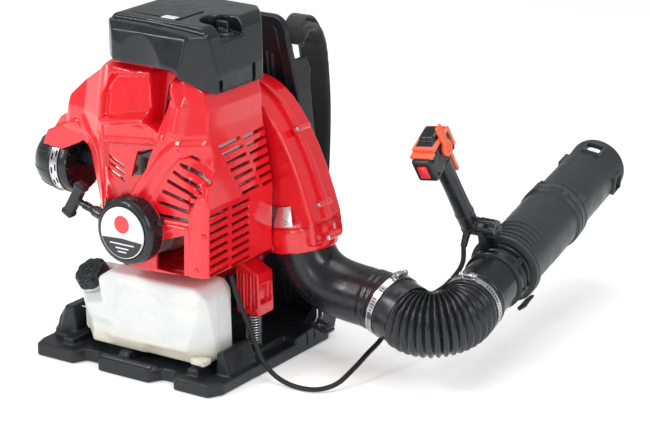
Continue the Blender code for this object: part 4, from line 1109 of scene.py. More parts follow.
# ---- engine shroud ----
FACE = [(-0.03, 0.486), (0.1, 0.486), (0.131, 0.455), (0.138, 0.425), (0.139, 0.395),
        (0.157, 0.288), (0.155, 0.183), (0.06, 0.176), (0.002, 0.178), (-0.046, 0.222),
        (-0.067, 0.272), (-0.089, 0.326), (-0.112, 0.341), (-0.15, 0.318), (-0.19, 0.32),
        (-0.188, 0.335), (-0.162, 0.366), (-0.142, 0.378), (-0.133, 0.408), (-0.103, 0.435),
        (-0.062, 0.46)]
PLAN = [(-0.195, -0.092), (-0.15, -0.106), (-0.1, -0.114), (-0.058, -0.138), (-0.028, SHROUD_FRONT),
        (0.146, SHROUD_FRONT), (0.157, -0.16), (0.158, -0.14), (0.158, 0.004), (-0.07, 0.004),
        (-0.11, -0.03), (-0.195, -0.05)]
RADIAL_CENTRE = Vector((0.248, 0.265))
WINDOW = [(0.012, 0.313), (0.04, 0.322), (0.062, 0.364), (0.024, 0.354)]
LOWER_OPENING = [(0.063, 0.224), (0.114, 0.243), (0.113, 0.18), (0.062, 0.182)]
SHROUD_RECESSES = [
    ([(-0.046, 0.428), (-0.02, 0.462), (0.042, 0.47), (0.048, 0.424), (0.042, 0.412), (-0.044, 0.396)],
     0.013, 0.005),
    ([(0.05, 0.5), (0.087, 0.5), (0.088, 0.462), (0.08, 0.425), (0.068, 0.396), (0.05, 0.402)],
     0.034, 0.005),
    ([(-0.04, 0.386), (0.036, 0.402), (0.066, 0.39), (0.064, 0.376), (-0.036, 0.366)], 0.006, 0.005),
    ([(-0.038, 0.36), (0.062, 0.371), (0.05, 0.336), (0.022, 0.3), (0.0, 0.264), (-0.016, 0.26),
      (-0.037, 0.32)], 0.013, 0.004),
    ([(0.052, 0.256), (0.055, 0.276), (0.067, 0.306), (0.086, 0.335), (0.108, 0.358), (0.124, 0.362),
      (0.15, 0.338), (0.136, 0.3), (0.126, 0.28), (0.124, 0.256)], 0.006, 0.003),
    ([(0.052, 0.236), (0.126, 0.254), (0.124, 0.174), (0.052, 0.172)], 0.0028, 0.0016),
    ([(-0.2, 0.52), (0.16, 0.52), (0.16, 0.468), (0.092, 0.474), (-0.2, 0.48)], 0.01, 0.004),
    ([(-0.088, 0.352), (-0.052, 0.372), (-0.048, 0.47), (-0.14, 0.47), (-0.14, 0.36)], -0.005, 0.008),
]
SHROUD_RIDGES = [
    ([(0.03, 0.283), (0.051, 0.317), (0.078, 0.354), (0.106, 0.378), (0.135, 0.376)], 0.0055, 0.011),
    ([(-0.1, 0.372), (-0.062, 0.338), (-0.042, 0.295), (-0.03, 0.262)], 0.006, 0.012),
    ([(0.08, 0.384), (0.06, 0.352), (0.036, 0.312), (0.014, 0.268)], 0.0045, 0.008),
    ([(0.094, 0.462), (0.106, 0.434), (0.103, 0.398)], 0.009, 0.015),
    ([(-0.046, 0.391), (0.036, 0.406), (0.05, 0.403)], 0.005, 0.007),
    ([(0.126, 0.252), (0.127, 0.3), (0.142, 0.318)], 0.003, 0.006),
]
PLUG_OPENING = [(0.056, 0.408), (0.074, 0.404), (0.08, 0.446), (0.072, 0.456), (0.06, 0.452)]


def shroud_slope(x, z):
    """The upper front leans back, and turns away on the right above the louvre's crease."""
    back = np.maximum(0, z - 0.392) * 0.2
    return back + np.maximum(0, x - 0.112) * 1.05 * ease((z - 0.3) / 0.06)


def radial(angle, radius):
    turn = math.radians(angle)
    return (RADIAL_CENTRE.x + radius * math.cos(turn), RADIAL_CENTRE.y + radius * math.sin(turn))


def wall_slot(start, end, width, y=SHROUD_FRONT):
    """Cutter for a slanted slot in the front wall, between two (x, z) points."""
    a, b = Vector((start[0], y, start[1])), Vector((end[0], y, end[1]))
    return block((width, 0.05, (b - a).length), (a + b) / 2, 0.0012, 2, b - a, Y, 60)


def side_slot(y_from, y_to, z):
    """Cutter for one louvre slot in the right wall."""
    return box((0.06, y_to - y_from, 0.0058), (0.15, (y_from + y_to) / 2, z), Vector((0, -0.05, 1)), Y)


def shroud_cutters():
    """Starter bore, radial slots, openings, louvre slots, and the air cleaner and outlet ports."""
    cutters = [rod(0.047, CRANK, Y, -0.2, -0.14)]
    for i in range(7):
        angle = 180 - 6.2 * i
        cutters.append(wall_slot(radial(angle, 0.126 - 0.0035 * i),
                                 radial(angle, 0.188 - 0.0045 * i), 0.0062))
    cutters.append(bevel(outline_solid(LOWER_OPENING, -0.2, -0.15), 0.002, 2, 60))
    cutters.append(bevel(outline_solid(WINDOW, -0.2, -0.12), 0.0015, 2, 60))
    for lift in (0, 0.0105, 0.021):
        cutters.append(wall_slot((-0.033, 0.34 - lift), (0.0, 0.325 - lift), 0.0046, -0.15))
    cutters.append(outline_solid(PLUG_OPENING, -0.2, -0.08))
    slots = []
    for row in range(7):
        z = 0.37 - 0.013 * row
        start, end = -0.113 + 0.0063 * row, 0.002 + 0.0032 * row
        middle = (start + end) / 2
        slots += [side_slot(start, middle - 0.004, z), side_slot(middle + 0.004, end, z)]
    for row in range(8):
        z = 0.277 - 0.0128 * row
        slots += [side_slot(-0.156, -0.109, z), side_slot(-0.102, -0.056, z)]
    cutters.append(gather(slots))
    cutters.append(rod(0.0512, AIR_CLEANER, X, -0.08, 0.1))
    cutters.append(rod(0.054, OUTLET, OUTLET_DIR, -0.08, 0.06))
    return cutters


def make_shroud():
    """Red moulded cover: rounded outer form, sculpted front, hollowed to its wall, then slotted."""
    outer = keep(outline_solid(FACE, -0.18, 0.02), outline_solid(PLAN, 0.15, 0.5, "XY"))
    ledge = outline_solid([(-0.178, 0.346), (-0.118, 0.372), (-0.095, 0.35), (-0.118, 0.334),
                           (-0.15, 0.319), (-0.188, 0.322)], -0.114, -0.06)
    outer = moulded(join(bevel(outer, 0.006, 2, 25), ledge), 0.0015, 8)
    outer = sculpt(outer, SHROUD_RECESSES, SHROUD_RIDGES, 0.0, 0.105, slope=shroud_slope)
    inner = keep(outline_solid(inset(FACE, 0.0038), -0.3, 0.06),
                 outline_solid([(x, y + 0.03 if y > -0.01 else y) for x, y in inset(PLAN, 0.0042)],
                               0.1, 0.55, "XY"))
    inner = moulded(inner, 0.0018, 3)
    inner = sculpt(inner, SHROUD_RECESSES, SHROUD_RIDGES, 0.0, 0.105, 0.0026, shroud_slope)
    cover = carve(outer, inner, *shroud_cutters())
    finish(cover, "engine_shroud", "red_shell", "chassis", "shroud side_louvre", 30)
    details = [
        hoop(0.0475, 0.051, CRANK, Y, SHROUD_FRONT - 0.003, SHROUD_FRONT + 0.003, 96),
        screw_head((0.15, -0.166, 0.246), (0.2, -1, 0), 0.0032),
        screw_head((0.0828, -0.02, 0.487), Z, 0.0032),
        screw_head((0.136, -0.166, 0.194), -Y, 0.003),
        screw_head((0.002, -0.166, 0.196), -Y, 0.003),
    ]
    finish(details, "shroud_details", "red_shell", smooth=40)


make_shroud()


# ---- top cover ----
TOP_FACE = [(-0.048, 0.4865), (0.1005, 0.4865), (0.1335, 0.4555), (0.146, 0.447), (0.149, 0.458),
            (0.146, 0.528), (0.128, 0.547), (-0.03, 0.55), (-0.05, 0.53)]
TOP_TOP = [(-0.052, -0.04), (-0.034, -0.138), (-0.012, -0.16), (0.036, -0.163), (0.112, -0.166),
           (0.148, -0.118), (0.148, -0.006), (0.11, 0.036), (-0.02, 0.036)]
KNOB_SEAT = Vector((0.114, -0.06, 0.523))


def cover_drafts(depth):
    """Half-spaces that give the cover its draft and its chamfered crown, each set in by depth."""
    planes = [((0, -0.166, 0.49), (0, -1, 0.2)), ((0, -0.145, 0.544), (0, -1, 1.15)),
              ((0.149, 0, 0.47), (1, 0, 0.15)), ((-0.049, 0, 0.505), (-1, 0, 0.22)),
              ((-0.035, 0, 0.545), (-1, 0, 1.0)), ((0.13, 0, 0.544), (1, 0, 1.3))]
    cutters = []
    for point, normal in planes:
        out = Vector(normal).normalized()
        cutters.append(box((0.8, 0.8, 0.1), Vector(point) + out * (0.05 - depth), out))
    return cutters


def make_top_cover():
    """Black cover: bowed front, knob pocket open at the corner, notches in its skirt, plain label panel."""
    bow_axis, pocket_axis = Vector((0.036, -0.277, 0)), Vector((0.12, -0.072, 0))
    outer = keep(outline_solid(TOP_FACE, -0.2, 0.06), outline_solid(TOP_TOP, 0.4, 0.6, "XY"))
    bow = rod(0.12, bow_axis, Z, 0.4, 0.537, 96)
    outer = cut(bevel(outer, 0.006, 2, 30), bow, *cover_drafts(0))
    slab = outline_solid([(-0.06, 0.5435), (0.045, 0.5425), (0.1, 0.5395), (0.16, 0.534), (0.16, 0.6),
                          (-0.06, 0.6)], -0.2, -0.128)
    outer = cut(outer, slab)
    pocket = join(rod(0.031, pocket_axis, Z, 0.523, 0.6, 64),
                  box((0.06, 0.036, 0.08), (0.15, -0.084, 0.563)))
    cup = join(rod(0.0355, pocket_axis, Z, 0.4, 0.6), box((0.06, 0.044, 0.12), (0.15, -0.084, 0.55)))
    outer = moulded(cut(outer, pocket), 0.0014, 14)
    hollow = keep(outline_solid(inset(TOP_FACE, 0.0065), -0.2, 0.06),
                  outline_solid(inset(TOP_TOP, 0.0065), 0.4, 0.6, "XY"))
    hollow = cut(hollow, box((0.4, 0.4, 0.03), (0, 0, 0.549)), rod(0.127, bow_axis, Z, 0.4, 0.6, 96))
    hollow = cut(hollow, *cover_drafts(0.0055))
    hollow = join(hollow, box((0.12, 0.11, 0.02), (0.03, -0.06, 0.487)))
    cover = cut(outer, cut(hollow, cup))
    for spot in ((0.146, -0.112, 0.455), (0.148, -0.03, 0.464)):
        cover = cut(cover, block((0.03, 0.0085, 0.03), spot, 0.003, 3, angle=60))
    lip = turned([(0.0125, 0.0), (0.0125, 0.004), (0.014, 0.0052), (0.017, 0.005), (0.019, 0.003),
                  (0.0195, 0.0)], KNOB_SEAT - Z * 0.0006, Z, 64, True)
    finish([cover, lip], "top_cover_moulding", "black_shell", "chassis", "top_cover", 35)
    panel = block((0.088, 0.062, 0.001), (0.028, -0.078, 0.5494), 0.0004, 1, (0.01, 0, 1))
    strip = block((0.024, 0.014, 0.0014), (0.056, -0.108, 0.5494), 0.0004, 1, (0.01, 0, 1))
    finish(panel, "label_panel", "frame_black")
    finish(strip, "label_patch", "badge_white")


def make_cover_knob():
    foot = KNOB_SEAT + Z * 0.0003
    hub = lobed(0.0105, 0.008, 12, 0.1, foot, Z)
    blade = block((0.02, 0.004, 0.013), foot + Z * 0.013, 0.0016, 3)
    taper = turned([(0, 0.01), (0.0052, 0.01), (0.0085, 0.006), (0, 0.006)], foot, Z, 32)
    finish([hub, blade, taper], "cover_knob_grip", "black_shell", "knob", "cover_knob", 40)


make_top_cover()
make_cover_knob()


# ---- base tray and back frame ----
BASE_OUTLINE = [(-0.172, -0.15), (-0.165, -0.173), (-0.094, -0.173), (-0.084, -0.152), (-0.056, -0.152),
                (-0.046, -0.173), (0.05, -0.173), (0.062, -0.152), (0.086, -0.152), (0.096, -0.173),
                (0.16, -0.173), (0.172, -0.15), (0.174, 0.06), (0.174, 0.13), (0.16, 0.15),
                (-0.16, 0.15), (-0.174, 0.13), (-0.174, 0.06)]


def make_base():
    """Stepped tray: rolled edge, front feet, tank cradle, cheeks and deck ribs."""
    tray = bevel(outline_solid(BASE_OUTLINE, 0.0004, 0.0215, "XY"), 0.006, 3)
    deck = outline_solid([(-0.15, -0.06), (0.15, -0.06), (0.15, 0.1495), (-0.15, 0.1495)],
                         0.02, 0.0298, "XY")
    shapes = [deck]
    for x in (-0.118, -0.01, 0.118):
        shapes.append(box((0.02, 0.09, 0.0134), (x, -0.11, 0.026)))
    cheek = [(0.04, 0.01), (0.148, 0.01), (0.166, 0.06), (0.164, 0.128),
             (0.15, 0.13), (0.13, 0.066), (0.09, 0.036), (0.04, 0.03)]
    for side in (-1, 1):
        low, high = sorted((side * 0.151, side * 0.173))
        shapes.append(outline_solid(cheek, low, high, "YZ"))
    left = outline_solid([(-0.168, 0.018), (-0.16, 0.05), (-0.146, 0.072), (-0.128, 0.074),
                          (-0.119, 0.018)], -0.128, -0.052)
    right = outline_solid([(0.143, 0.018), (0.145, 0.056), (0.156, 0.06), (0.17, 0.018)], -0.13, -0.058)
    groove = box((0.01, 0.012, 0.06), (-0.152, -0.13, 0.062), (0.3, 0, 1))
    shapes += [cut(left, groove), right]
    front = outline_solid([(-0.046, -0.166), (0.05, -0.166), (0.056, -0.156), (-0.052, -0.156)],
                          0.02, 0.0262, "XY")
    tray = moulded(join(tray, *shapes, front), 0.0016, 17)
    tray = cut(tray, box((0.5, 0.5, 0.02), (0, 0, -0.0098)))
    for side in (-1, 1):
        for i in range(3):
            slot = box((0.03, 0.003, 0.04), (side * 0.162, 0.07 + 0.02 * i, 0.03 + 0.004 * i))
            tray = cut(tray, keep(slot, box((0.004, 0.1, 0.1), (side * 0.1738, 0.09, 0.03))))
    extras = [screw_head((x, 0.02, 0.03), Z, 0.004, 0.003) for x in (-0.11, 0.105)]
    for x in (-0.06, 0.0, 0.06):
        extras.append(block((0.004, 0.15, 0.005), (x, 0.05, 0.031), 0.0015, 2))
    finish([tray] + extras, "base_moulding", "frame_black", "chassis", "base_tray", 35)


def lean_back(item):
    """Tilt a piece built upright so that it leans forwards with the back plate."""
    pivot = Matrix.Translation((0, PLATE_Y, PLATE_Z))
    item.matrix_world = pivot @ Matrix.Rotation(LEAN, 4, "X") @ pivot.inverted() @ item.matrix_world
    return bake(item)


def make_back_frame():
    """Back plate with a rolled rim, sunk panels, carry slot and air slots."""
    side = [(0.147, PLATE_Z), (0.149, 0.11), (0.146, 0.25), (0.13, 0.4), (0.116, 0.49)]
    right = side + arc((0.09, 0.494), 0.026, 0, 90, 8)
    points = right + [(-x, z) for x, z in reversed(right)]
    plate = bevel(outline_solid(points, PLATE_Y + 0.0002, PLATE_Y + 0.0138), 0.004, 3)
    sunk = inset(points, 0.017)
    for low, high in ((PLATE_Y - 0.01, PLATE_Y + 0.0045), (PLATE_Y + 0.0095, PLATE_Y + 0.03)):
        plate = cut(plate, outline_solid(sunk, low, high))
    bar = outline_solid([(-0.066, 0.464), (0.066, 0.464), (0.066, 0.508), (-0.066, 0.508)],
                        PLATE_Y + 0.001, PLATE_Y + 0.013)
    plate = join(plate, bevel(bar, 0.003, 2))
    for side in (-1, 1):
        plate = join(plate, block((0.01, 0.012, 0.42), (side * 0.082, PLATE_Y + 0.007, 0.25), 0.003, 2))
    plate = cut(plate, block((0.11, 0.06, 0.03), (0, PLATE_Y, 0.486), 0.006, 3, angle=60))
    for row in range(5):
        plate = cut(plate, block((0.12, 0.06, 0.012), (CRANK.x, PLATE_Y, 0.175 + 0.03 * row), 0.004, 3,
                                 angle=60))
    flange = cut(outline_solid(points, PLATE_Y + 0.008, PLATE_Y + 0.09),
                 outline_solid(inset(points, 0.0052), PLATE_Y, PLATE_Y + 0.1))
    profile = [(PLATE_Y + 0.004, 0.108), (PLATE_Y + 0.009, 0.112), (PLATE_Y + 0.0155, 0.205),
               (PLATE_Y + 0.03, 0.33), (PLATE_Y + 0.0385, 0.404), (PLATE_Y + 0.048, 0.424),
               (PLATE_Y + 0.044, 0.446), (PLATE_Y + 0.004, 0.452)]
    flange = keep(flange, outline_solid(profile, -0.2, 0.2, "YZ"))
    plate = moulded(join(plate, flange), 0.0018, 5)
    finish(lean_back(plate), "back_frame_moulding", "frame_black", "chassis", "back_frame", 40)


make_base()
make_back_frame()


# ---- fuel system ----
TANK_FRONT = -0.152


def make_fuel_tank():
    """Blow-moulded tank: chamfered corners, stepped front, neck and mould seam."""
    outline = [(-0.112, 0.044), (-0.104, 0.0336), (0.13, 0.0336), (0.139, 0.044), (0.137, 0.142),
               (0.124, 0.157), (-0.038, 0.157), (-0.062, 0.141), (-0.108, 0.139), (-0.114, 0.126)]
    tank = bevel(outline_solid(outline, TANK_FRONT, -0.0752), 0.012, 3)
    for x, wide in ((-0.114, 0.046), (0.139, 0.034)):
        corner = Vector((math.copysign(1, x), -1, -0.25)).normalized()
        tank = cut(tank, box((0.2, 0.2, 0.08), Vector((x, TANK_FRONT, 0.09)) + corner
                             * (0.04 - wide / 2), corner))
    tank = cut(tank, box((0.4, 0.06, 0.2), (0, TANK_FRONT - 0.0215, 0.03), Vector((0, -0.5, 1)), Y))
    tank = cut(tank, box((0.11, 0.14, 0.08), CAP_SEAT + CAP_DIR * 0.04 + X * -0.02, CAP_DIR, Y))
    neck = rod(0.021, CAP_SEAT, CAP_DIR, -0.006, 0.0095)
    tank = moulded(join(tank, neck), 0.0016, 24)
    recesses = [
        ([(0.0, 0.062), (0.066, 0.062), (0.08, 0.078), (0.118, 0.082), (0.126, 0.128), (0.06, 0.124),
          (0.046, 0.136), (-0.02, 0.134), (-0.03, 0.09)], 0.004, 0.008),
        ([(-0.104, 0.05), (-0.046, 0.044), (-0.034, 0.07), (-0.098, 0.082)], 0.005, 0.01),
        ([(0.02, 0.03), (0.14, 0.03), (0.14, 0.056), (0.03, 0.05)], 0.004, 0.008),
        ([(0.012, 0.088), (0.048, 0.088), (0.048, 0.104), (0.012, 0.104)], 0.0012, 0.0015),
    ]
    tank = sculpt(tank, recesses, [([(-0.034, 0.04), (-0.034, 0.14)], 0.0006, 0.004)], -0.12, 0.025)
    slab = keep(outline_solid(inset(outline, -0.0012), -0.1142, -0.1128),
                box((0.5, 0.1, 0.114), (0, -0.113, 0.0905)))
    seam = cut(bevel(slab, 0.0004, 1), outline_solid(inset(outline, 0.004), -0.13, -0.1))
    lug = block((0.026, 0.02, 0.01), (0.124, -0.14, 0.042), 0.003, 2)
    screw = screw_head((0.134, -0.1512, 0.0425), -Y, 0.0026, 0.0016)
    seam = keep(seam, box((0.4, 0.1, 0.0985), (0.06, -0.113, 0.088)))
    finish([tank, seam, lug], "fuel_tank_moulding", "tank_white", "chassis", "fuel_tank", 40)
    finish(screw, "fuel_tank_screw", "steel")
    level = block((0.02, 0.001, 0.0012), (-0.08, -0.152, 0.09), 0.0003, 1)
    finish(level, "fuel_tank_mark", "tank_white")


def make_fuel_cap():
    """Lobed screw cap with knurled flanks, sunk top ring, pale gasket and tether."""
    seat = CAP_SEAT + CAP_DIR * 0.0103
    cap = lobed(0.0272, 0.018, 8, 0.1, seat, CAP_DIR, 0.86)
    axis = placed(seat, CAP_DIR)
    knurls = []
    for i in range(48):
        turn = 2 * math.pi * (i + 0.5) / 48
        reach = 0.0272 * (1 - 0.1 * (0.5 - 0.5 * math.cos(8 * turn)) ** 2)
        foot = axis @ Vector((reach * math.cos(turn), reach * math.sin(turn), 0.002))
        tip = axis @ Vector((reach * 0.985 * math.cos(turn), reach * 0.985 * math.sin(turn), 0.0115))
        knurls.append(cylinder(0.00055, foot, tip, 6))
    crown = turned([(0.012, 0.0178), (0.0122, 0.0188), (0.014, 0.019), (0.015, 0.0186), (0.0152, 0.0176)],
                   seat, CAP_DIR, 64, True)
    cross = [block((0.018, 0.003, 0.0016), seat + CAP_DIR * 0.0184, 0.0005, 2, CAP_DIR, roll)
             for roll in (X, Y)]
    finish([cap, crown] + cross + knurls, "fuel_cap_grip", "black_shell", "cap", "fuel_cap", 40)
    gasket = turned([(0.0215, 0.0006), (0.0215, 0.002), (0.0268, 0.0024), (0.028, 0.0014),
                     (0.0268, 0.0004)], CAP_SEAT + CAP_DIR * 0.0075, CAP_DIR, 96, True)
    finish(gasket, "fuel_neck_rim", "badge_white")
    collar = CAP_SEAT + CAP_DIR * 0.006
    route = [collar + Vector((0.0235, 0.002, 0.002)), collar + Vector((0.03, 0.006, 0.006)),
             collar + Vector((0.036, 0.012, 0.004)), Vector((-0.048, -0.098, 0.151))]
    finish(cord(smooth_route(route, 0.002), 0.0009, 12), "fuel_cap_tether", "tank_white")


FUEL_ROUTE = [(-0.02, -0.095, 0.1577), (-0.022, -0.097, 0.175), (-0.045, -0.108, 0.196),
              (-0.072, -0.108, 0.215), (-0.076, -0.095, 0.24), (-0.058, -0.075, 0.266),
              (-0.05, -0.066, 0.2825)]
RETURN_ROUTE = [(-0.03, -0.095, 0.1577), (-0.036, -0.098, 0.172), (-0.058, -0.112, 0.188),
                (-0.083, -0.112, 0.214), (-0.086, -0.098, 0.246), (-0.066, -0.086, 0.272),
                (-0.058, -0.08, 0.287)]


def make_fuel_lines():
    """Feed and return lines with spring clips, and the black grommet where they enter the tank."""
    feed = cord(smooth_route(FUEL_ROUTE, 0.003), 0.0026, 20)
    finish(feed, "fuel_feed", "fuel_yellow", "chassis", "fuel_line")
    finish(cord(smooth_route(RETURN_ROUTE, 0.003), 0.0022, 20), "fuel_return", "fuel_yellow")
    grommet = turned([(0, 0.006), (0.01, 0.006), (0.012, 0.0045), (0.0145, 0.002), (0.015, 0.0002),
                      (0, 0.0002)], (-0.026, -0.096, 0.157), Z, 48)
    clips = []
    for route in (FUEL_ROUTE, RETURN_ROUTE):
        a, b = Vector(route[-2]), Vector(route[-1])
        run = (b - a).normalized()
        for s in (0.005, 0.008):
            clips.append(hoop(0.0026, 0.0034, b, run, -s, -(s - 0.0012), 24))
    finish(grommet, "tank_grommet", "black_shell")
    finish(clips, "fuel_line_clips", "steel")


make_fuel_tank()
make_fuel_cap()
make_fuel_lines()


# ---- fan housing ----
FAN_FRONT = 0.0125
FAN_BACK = 0.0925
COLLAR_R = 0.052
COLLAR_LONG = 0.046
FOOT_RIGHT, FOOT_LEFT, FOOT_Y = 0.132, -0.082, -0.014
COIL_R = 0.0112
STEPS_PER_TURN = 26


def scroll_outline():
    """Scroll that grows clockwise, seen from the engine, then runs down into the collar."""
    across = Vector((-OUTLET_DIR.z, OUTLET_DIR.x))
    mouth, up = Vector((OUTLET.x, OUTLET.z)), Vector((-OUTLET_DIR.x, -OUTLET_DIR.z))
    top = mouth + up * COLLAR_LONG
    start, end, count = -38.0, -292.0, 48
    points = []
    for i in range(count):
        turn = start + (end - start) * i / (count - 1)
        radius = 0.114 + 0.084 * (turn - start) / (end - start)
        angle = math.radians(turn)
        points.append((CRANK.x + radius * math.cos(angle), CRANK.z + radius * math.sin(angle)))
    run = (Vector(points[-1]), Vector((0.155, 0.404)), Vector((0.197, 0.31)), top + across * COLLAR_R)
    points += [tuple(bezier(run, i / 14)) for i in range(1, 15)]
    foot = mouth + up * 0.01
    return points + [tuple(foot + across * (COLLAR_R - 0.001)), tuple(foot - across * (COLLAR_R - 0.003))]


def fan_solid(grow, y_low, y_high, collar_radius, below, round_by):
    """The scroll and its neck as one solid, set in from the outline by grow."""
    scroll = outline_solid(inset(scroll_outline(), grow), y_low, y_high)
    scroll = bevel(scroll, round_by, 4, 50)
    neck = turned([(0, below), (collar_radius, below), (collar_radius, -COLLAR_LONG),
                   (collar_radius * 0.86, -COLLAR_LONG - 0.004),
                   (collar_radius * 0.62, -0.095), (0, -0.095)], OUTLET, OUTLET_DIR, 96)
    return join(scroll, neck)


def fan_boss(x, z, out):
    """Round screw boss across the housing's split, with a screw at its front."""
    y_from, y_to = 0.038, 0.068
    boss = cylinder(0.0052, (x, y_from, z), (x, y_to, z), 32)
    root = box((0.012, y_to - y_from - 0.004, 0.008),
               (x - out[0] * 0.006, (y_from + y_to) / 2, z - out[1] * 0.006),
               Vector((out[0], 0, out[1])), Y)
    return join(boss, root), screw_head((x, y_from - 0.0002, z), -Y, 0.0028)


def make_fan_housing():
    """Rounded scroll with a stepped collar, split flange, screw bosses, shoulder ribs and rear grille rim."""
    outer = fan_solid(0.0006, FAN_FRONT, FAN_BACK, COLLAR_R - 0.0005, -0.0004, 0.014)
    cuff = turned([(COLLAR_R - 0.004, -0.0004), (COLLAR_R + 0.0012, -0.0004), (COLLAR_R + 0.0018, -0.004),
                   (COLLAR_R + 0.0018, -0.034), (COLLAR_R + 0.0005, -0.039), (COLLAR_R - 0.004, -0.041)],
                  OUTLET, OUTLET_DIR, 96, True)
    outer = moulded(join(outer, cuff), 0.002, 6)
    split = (FAN_FRONT + FAN_BACK) / 2
    rim = outline_solid(inset(scroll_outline()[:-2], -0.0055), split - 0.0055, split + 0.0058)
    rim = cut(bevel(rim, 0.0016, 2), outline_solid(inset(scroll_outline(), 0.0016),
                                                   split - 0.02, split + 0.02))
    rim = keep(rim, outline_solid([(-0.2, 0.1), (-0.2, 0.5), (0.3, 0.5), (0.3, 0.232), (0.1, 0.232),
                                   (0.1, 0.1)], 0, 0.1))
    groove = hoop(0.05, 0.06, OUTLET, OUTLET_DIR, -0.04, -0.0388)
    inner = fan_solid(0.0042, FAN_FRONT + 0.0035, FAN_BACK - 0.0035, COLLAR_R - 0.004, 0.02, 0.011)
    hole = rod(0.058, CRANK, Y, FAN_BACK - 0.02, FAN_BACK + 0.02, 96)
    bore = rod(0.013, CRANK, Y, FAN_FRONT - 0.02, FAN_FRONT + 0.02)
    outer = carve(outer, groove, inner, hole, bore)
    lip = turned([(0.058, FAN_BACK - 0.003), (0.058, FAN_BACK + 0.001), (0.06, FAN_BACK + 0.002),
                  (0.0625, FAN_BACK + 0.001), (0.064, FAN_BACK - 0.002)],
                 (CRANK.x, 0, CRANK.z), Y, 96, True)
    extras, screws = [lip], []
    places = [(0.1775, 0.366, (0.8, 0.6)), (0.216, 0.254, (1, 0.2)), (0.233, 0.206, (1, 0.1)),
              (-0.096, 0.348, (-0.8, 0.6)), (-0.102, 0.17, (-0.8, -0.5)), (0.03, 0.442, (0.1, 1)),
              (0.015, 0.088, (0, -1))]
    for x, z, out in places:
        boss, screw = fan_boss(x, z, Vector(out).normalized())
        extras.append(boss)
        screws.append(screw)
    for x, z, long in ((0.1285, 0.235, 0.026), (0.106, 0.406, 0.038)):
        rib = cylinder(0.0042, (x, FAN_FRONT - 0.004, z), (x, FAN_FRONT + long, z + 0.006), 32)
        extras.append(bevel(rib, 0.001, 2))
        screws.append(screw_head((x, FAN_FRONT - 0.004, z), -Y, 0.003))
    for i in range(3):
        extras.append(hoop(0.07 + 0.008 * i, 0.0716 + 0.008 * i, CRANK, Y, FAN_BACK - 0.0005,
                           FAN_BACK + 0.0012, 96))
    finish([outer, rim] + extras, "fan_scroll", "red_shell", "chassis",
           "fan_housing_front fan_housing_rear", 40)
    finish(screws, "fan_screws", "steel")


def make_heat_patch():
    """Reflective heat foil on the collar's front shoulder, lightly crinkled."""
    rows, columns = 22, 26
    axis = placed(OUTLET, -OUTLET_DIR, Y)
    verts = []
    for layer in (0.0001, 0.0008):
        for i in range(rows + 1):
            for j in range(columns + 1):
                turn = math.radians(-142 + 74 * j / columns)
                lift = 0.0425 + 0.03 * i / rows
                edge = min(i, rows - i, j, columns - j)
                wave = 0.00035 * math.sin(1.9 * i + 0.8 * j) * math.cos(1.3 * j - 0.5 * i)
                reach = COLLAR_R - 0.0004 - 0.006 * (i / rows) ** 1.6 + layer + wave * min(1, edge / 2)
                verts.append(tuple(axis @ Vector((reach * math.cos(turn), reach * math.sin(turn), lift))))
    size = len(verts) // 2
    faces = sheet_faces(rows, columns)
    rim = [j for j in range(columns)] + [i * (columns + 1) + columns for i in range(rows)]
    rim += [rows * (columns + 1) + columns - j for j in range(columns)]
    rim += [(rows - i) * (columns + 1) for i in range(rows)]
    for a, b in zip(rim, rim[1:] + rim[:1]):
        faces.append((b, a, size + a, size + b))
    finish(skin("patch", verts, faces), "heat_foil", "foil", smooth=60)


def make_bracket(x, name):
    """Ribbed, hollow-backed engine foot with its buffer cup."""
    outline = [(x - 0.0178, 0.0845), (x + 0.0238, 0.0845), (x + 0.0218, 0.1498), (x - 0.0178, 0.1718)]
    foot = outline_solid(outline, -0.0338, 0.0058)
    pockets = []
    for i in range(3):
        pockets.append(box((0.0085, 0.014, 0.056), (x - 0.0115 + 0.0125 * i, -0.034, 0.122)))
    pockets.append(box((0.02, 0.03, 0.03), (x + 0.026, FOOT_Y, 0.118)))
    foot = moulded(cut(bevel(foot, 0.002, 2), *pockets), 0.001, 4)
    cup = ring(0.0112, 0.014, (x, FOOT_Y, 0.0835), (x, FOOT_Y, 0.09), 48)
    bolt = screw_head((x + 0.018, -0.034, 0.094), -Y, 0.0026)
    finish([foot, cup, bolt], name + "_casting", "red_shell", "chassis", name, 40)


def make_spring(x, name):
    """Close-wound coil with ground ends, over a rubber pad."""
    wire, turns, low, high = 0.0011, 12, 0.032, 0.0828
    path = []
    for k in range(turns * STEPS_PER_TURN + 1):
        angle = 2 * math.pi * k / STEPS_PER_TURN
        f = k / (turns * STEPS_PER_TURN)
        path.append(Vector((x + COIL_R * math.cos(angle), FOOT_Y + COIL_R * math.sin(angle),
                            low + (high - low) * f)))
    finish(cord(path, wire, 10), name + "_coil", "steel", "chassis", name, 40)
    pad = turned([(0, 0.002), (0.0085, 0.002), (0.01, 0.0012), (0.0138, 0.0012), (0.0145, 0.0001),
                  (0, 0.0001)], (x, FOOT_Y, 0.03), Z, 48)
    core = turned([(0, 0.04), (0.0055, 0.04), (0.0072, 0.036), (0.0072, 0.004), (0.0085, 0.002),
                   (0, 0.002)], (x, FOOT_Y, 0.03), Z, 32)
    finish([pad, core], name + "_buffer", "cord_black")


make_fan_housing()
make_heat_patch()
make_bracket(FOOT_RIGHT, "mount_bracket_right")
make_bracket(FOOT_LEFT, "mount_bracket_left")
make_spring(FOOT_RIGHT, "spring_right")
make_spring(FOOT_LEFT, "spring_left")


# ---- recoil starter ----
ROPE_EXIT = CRANK + Y * -0.181
BADGE_R = 0.0395


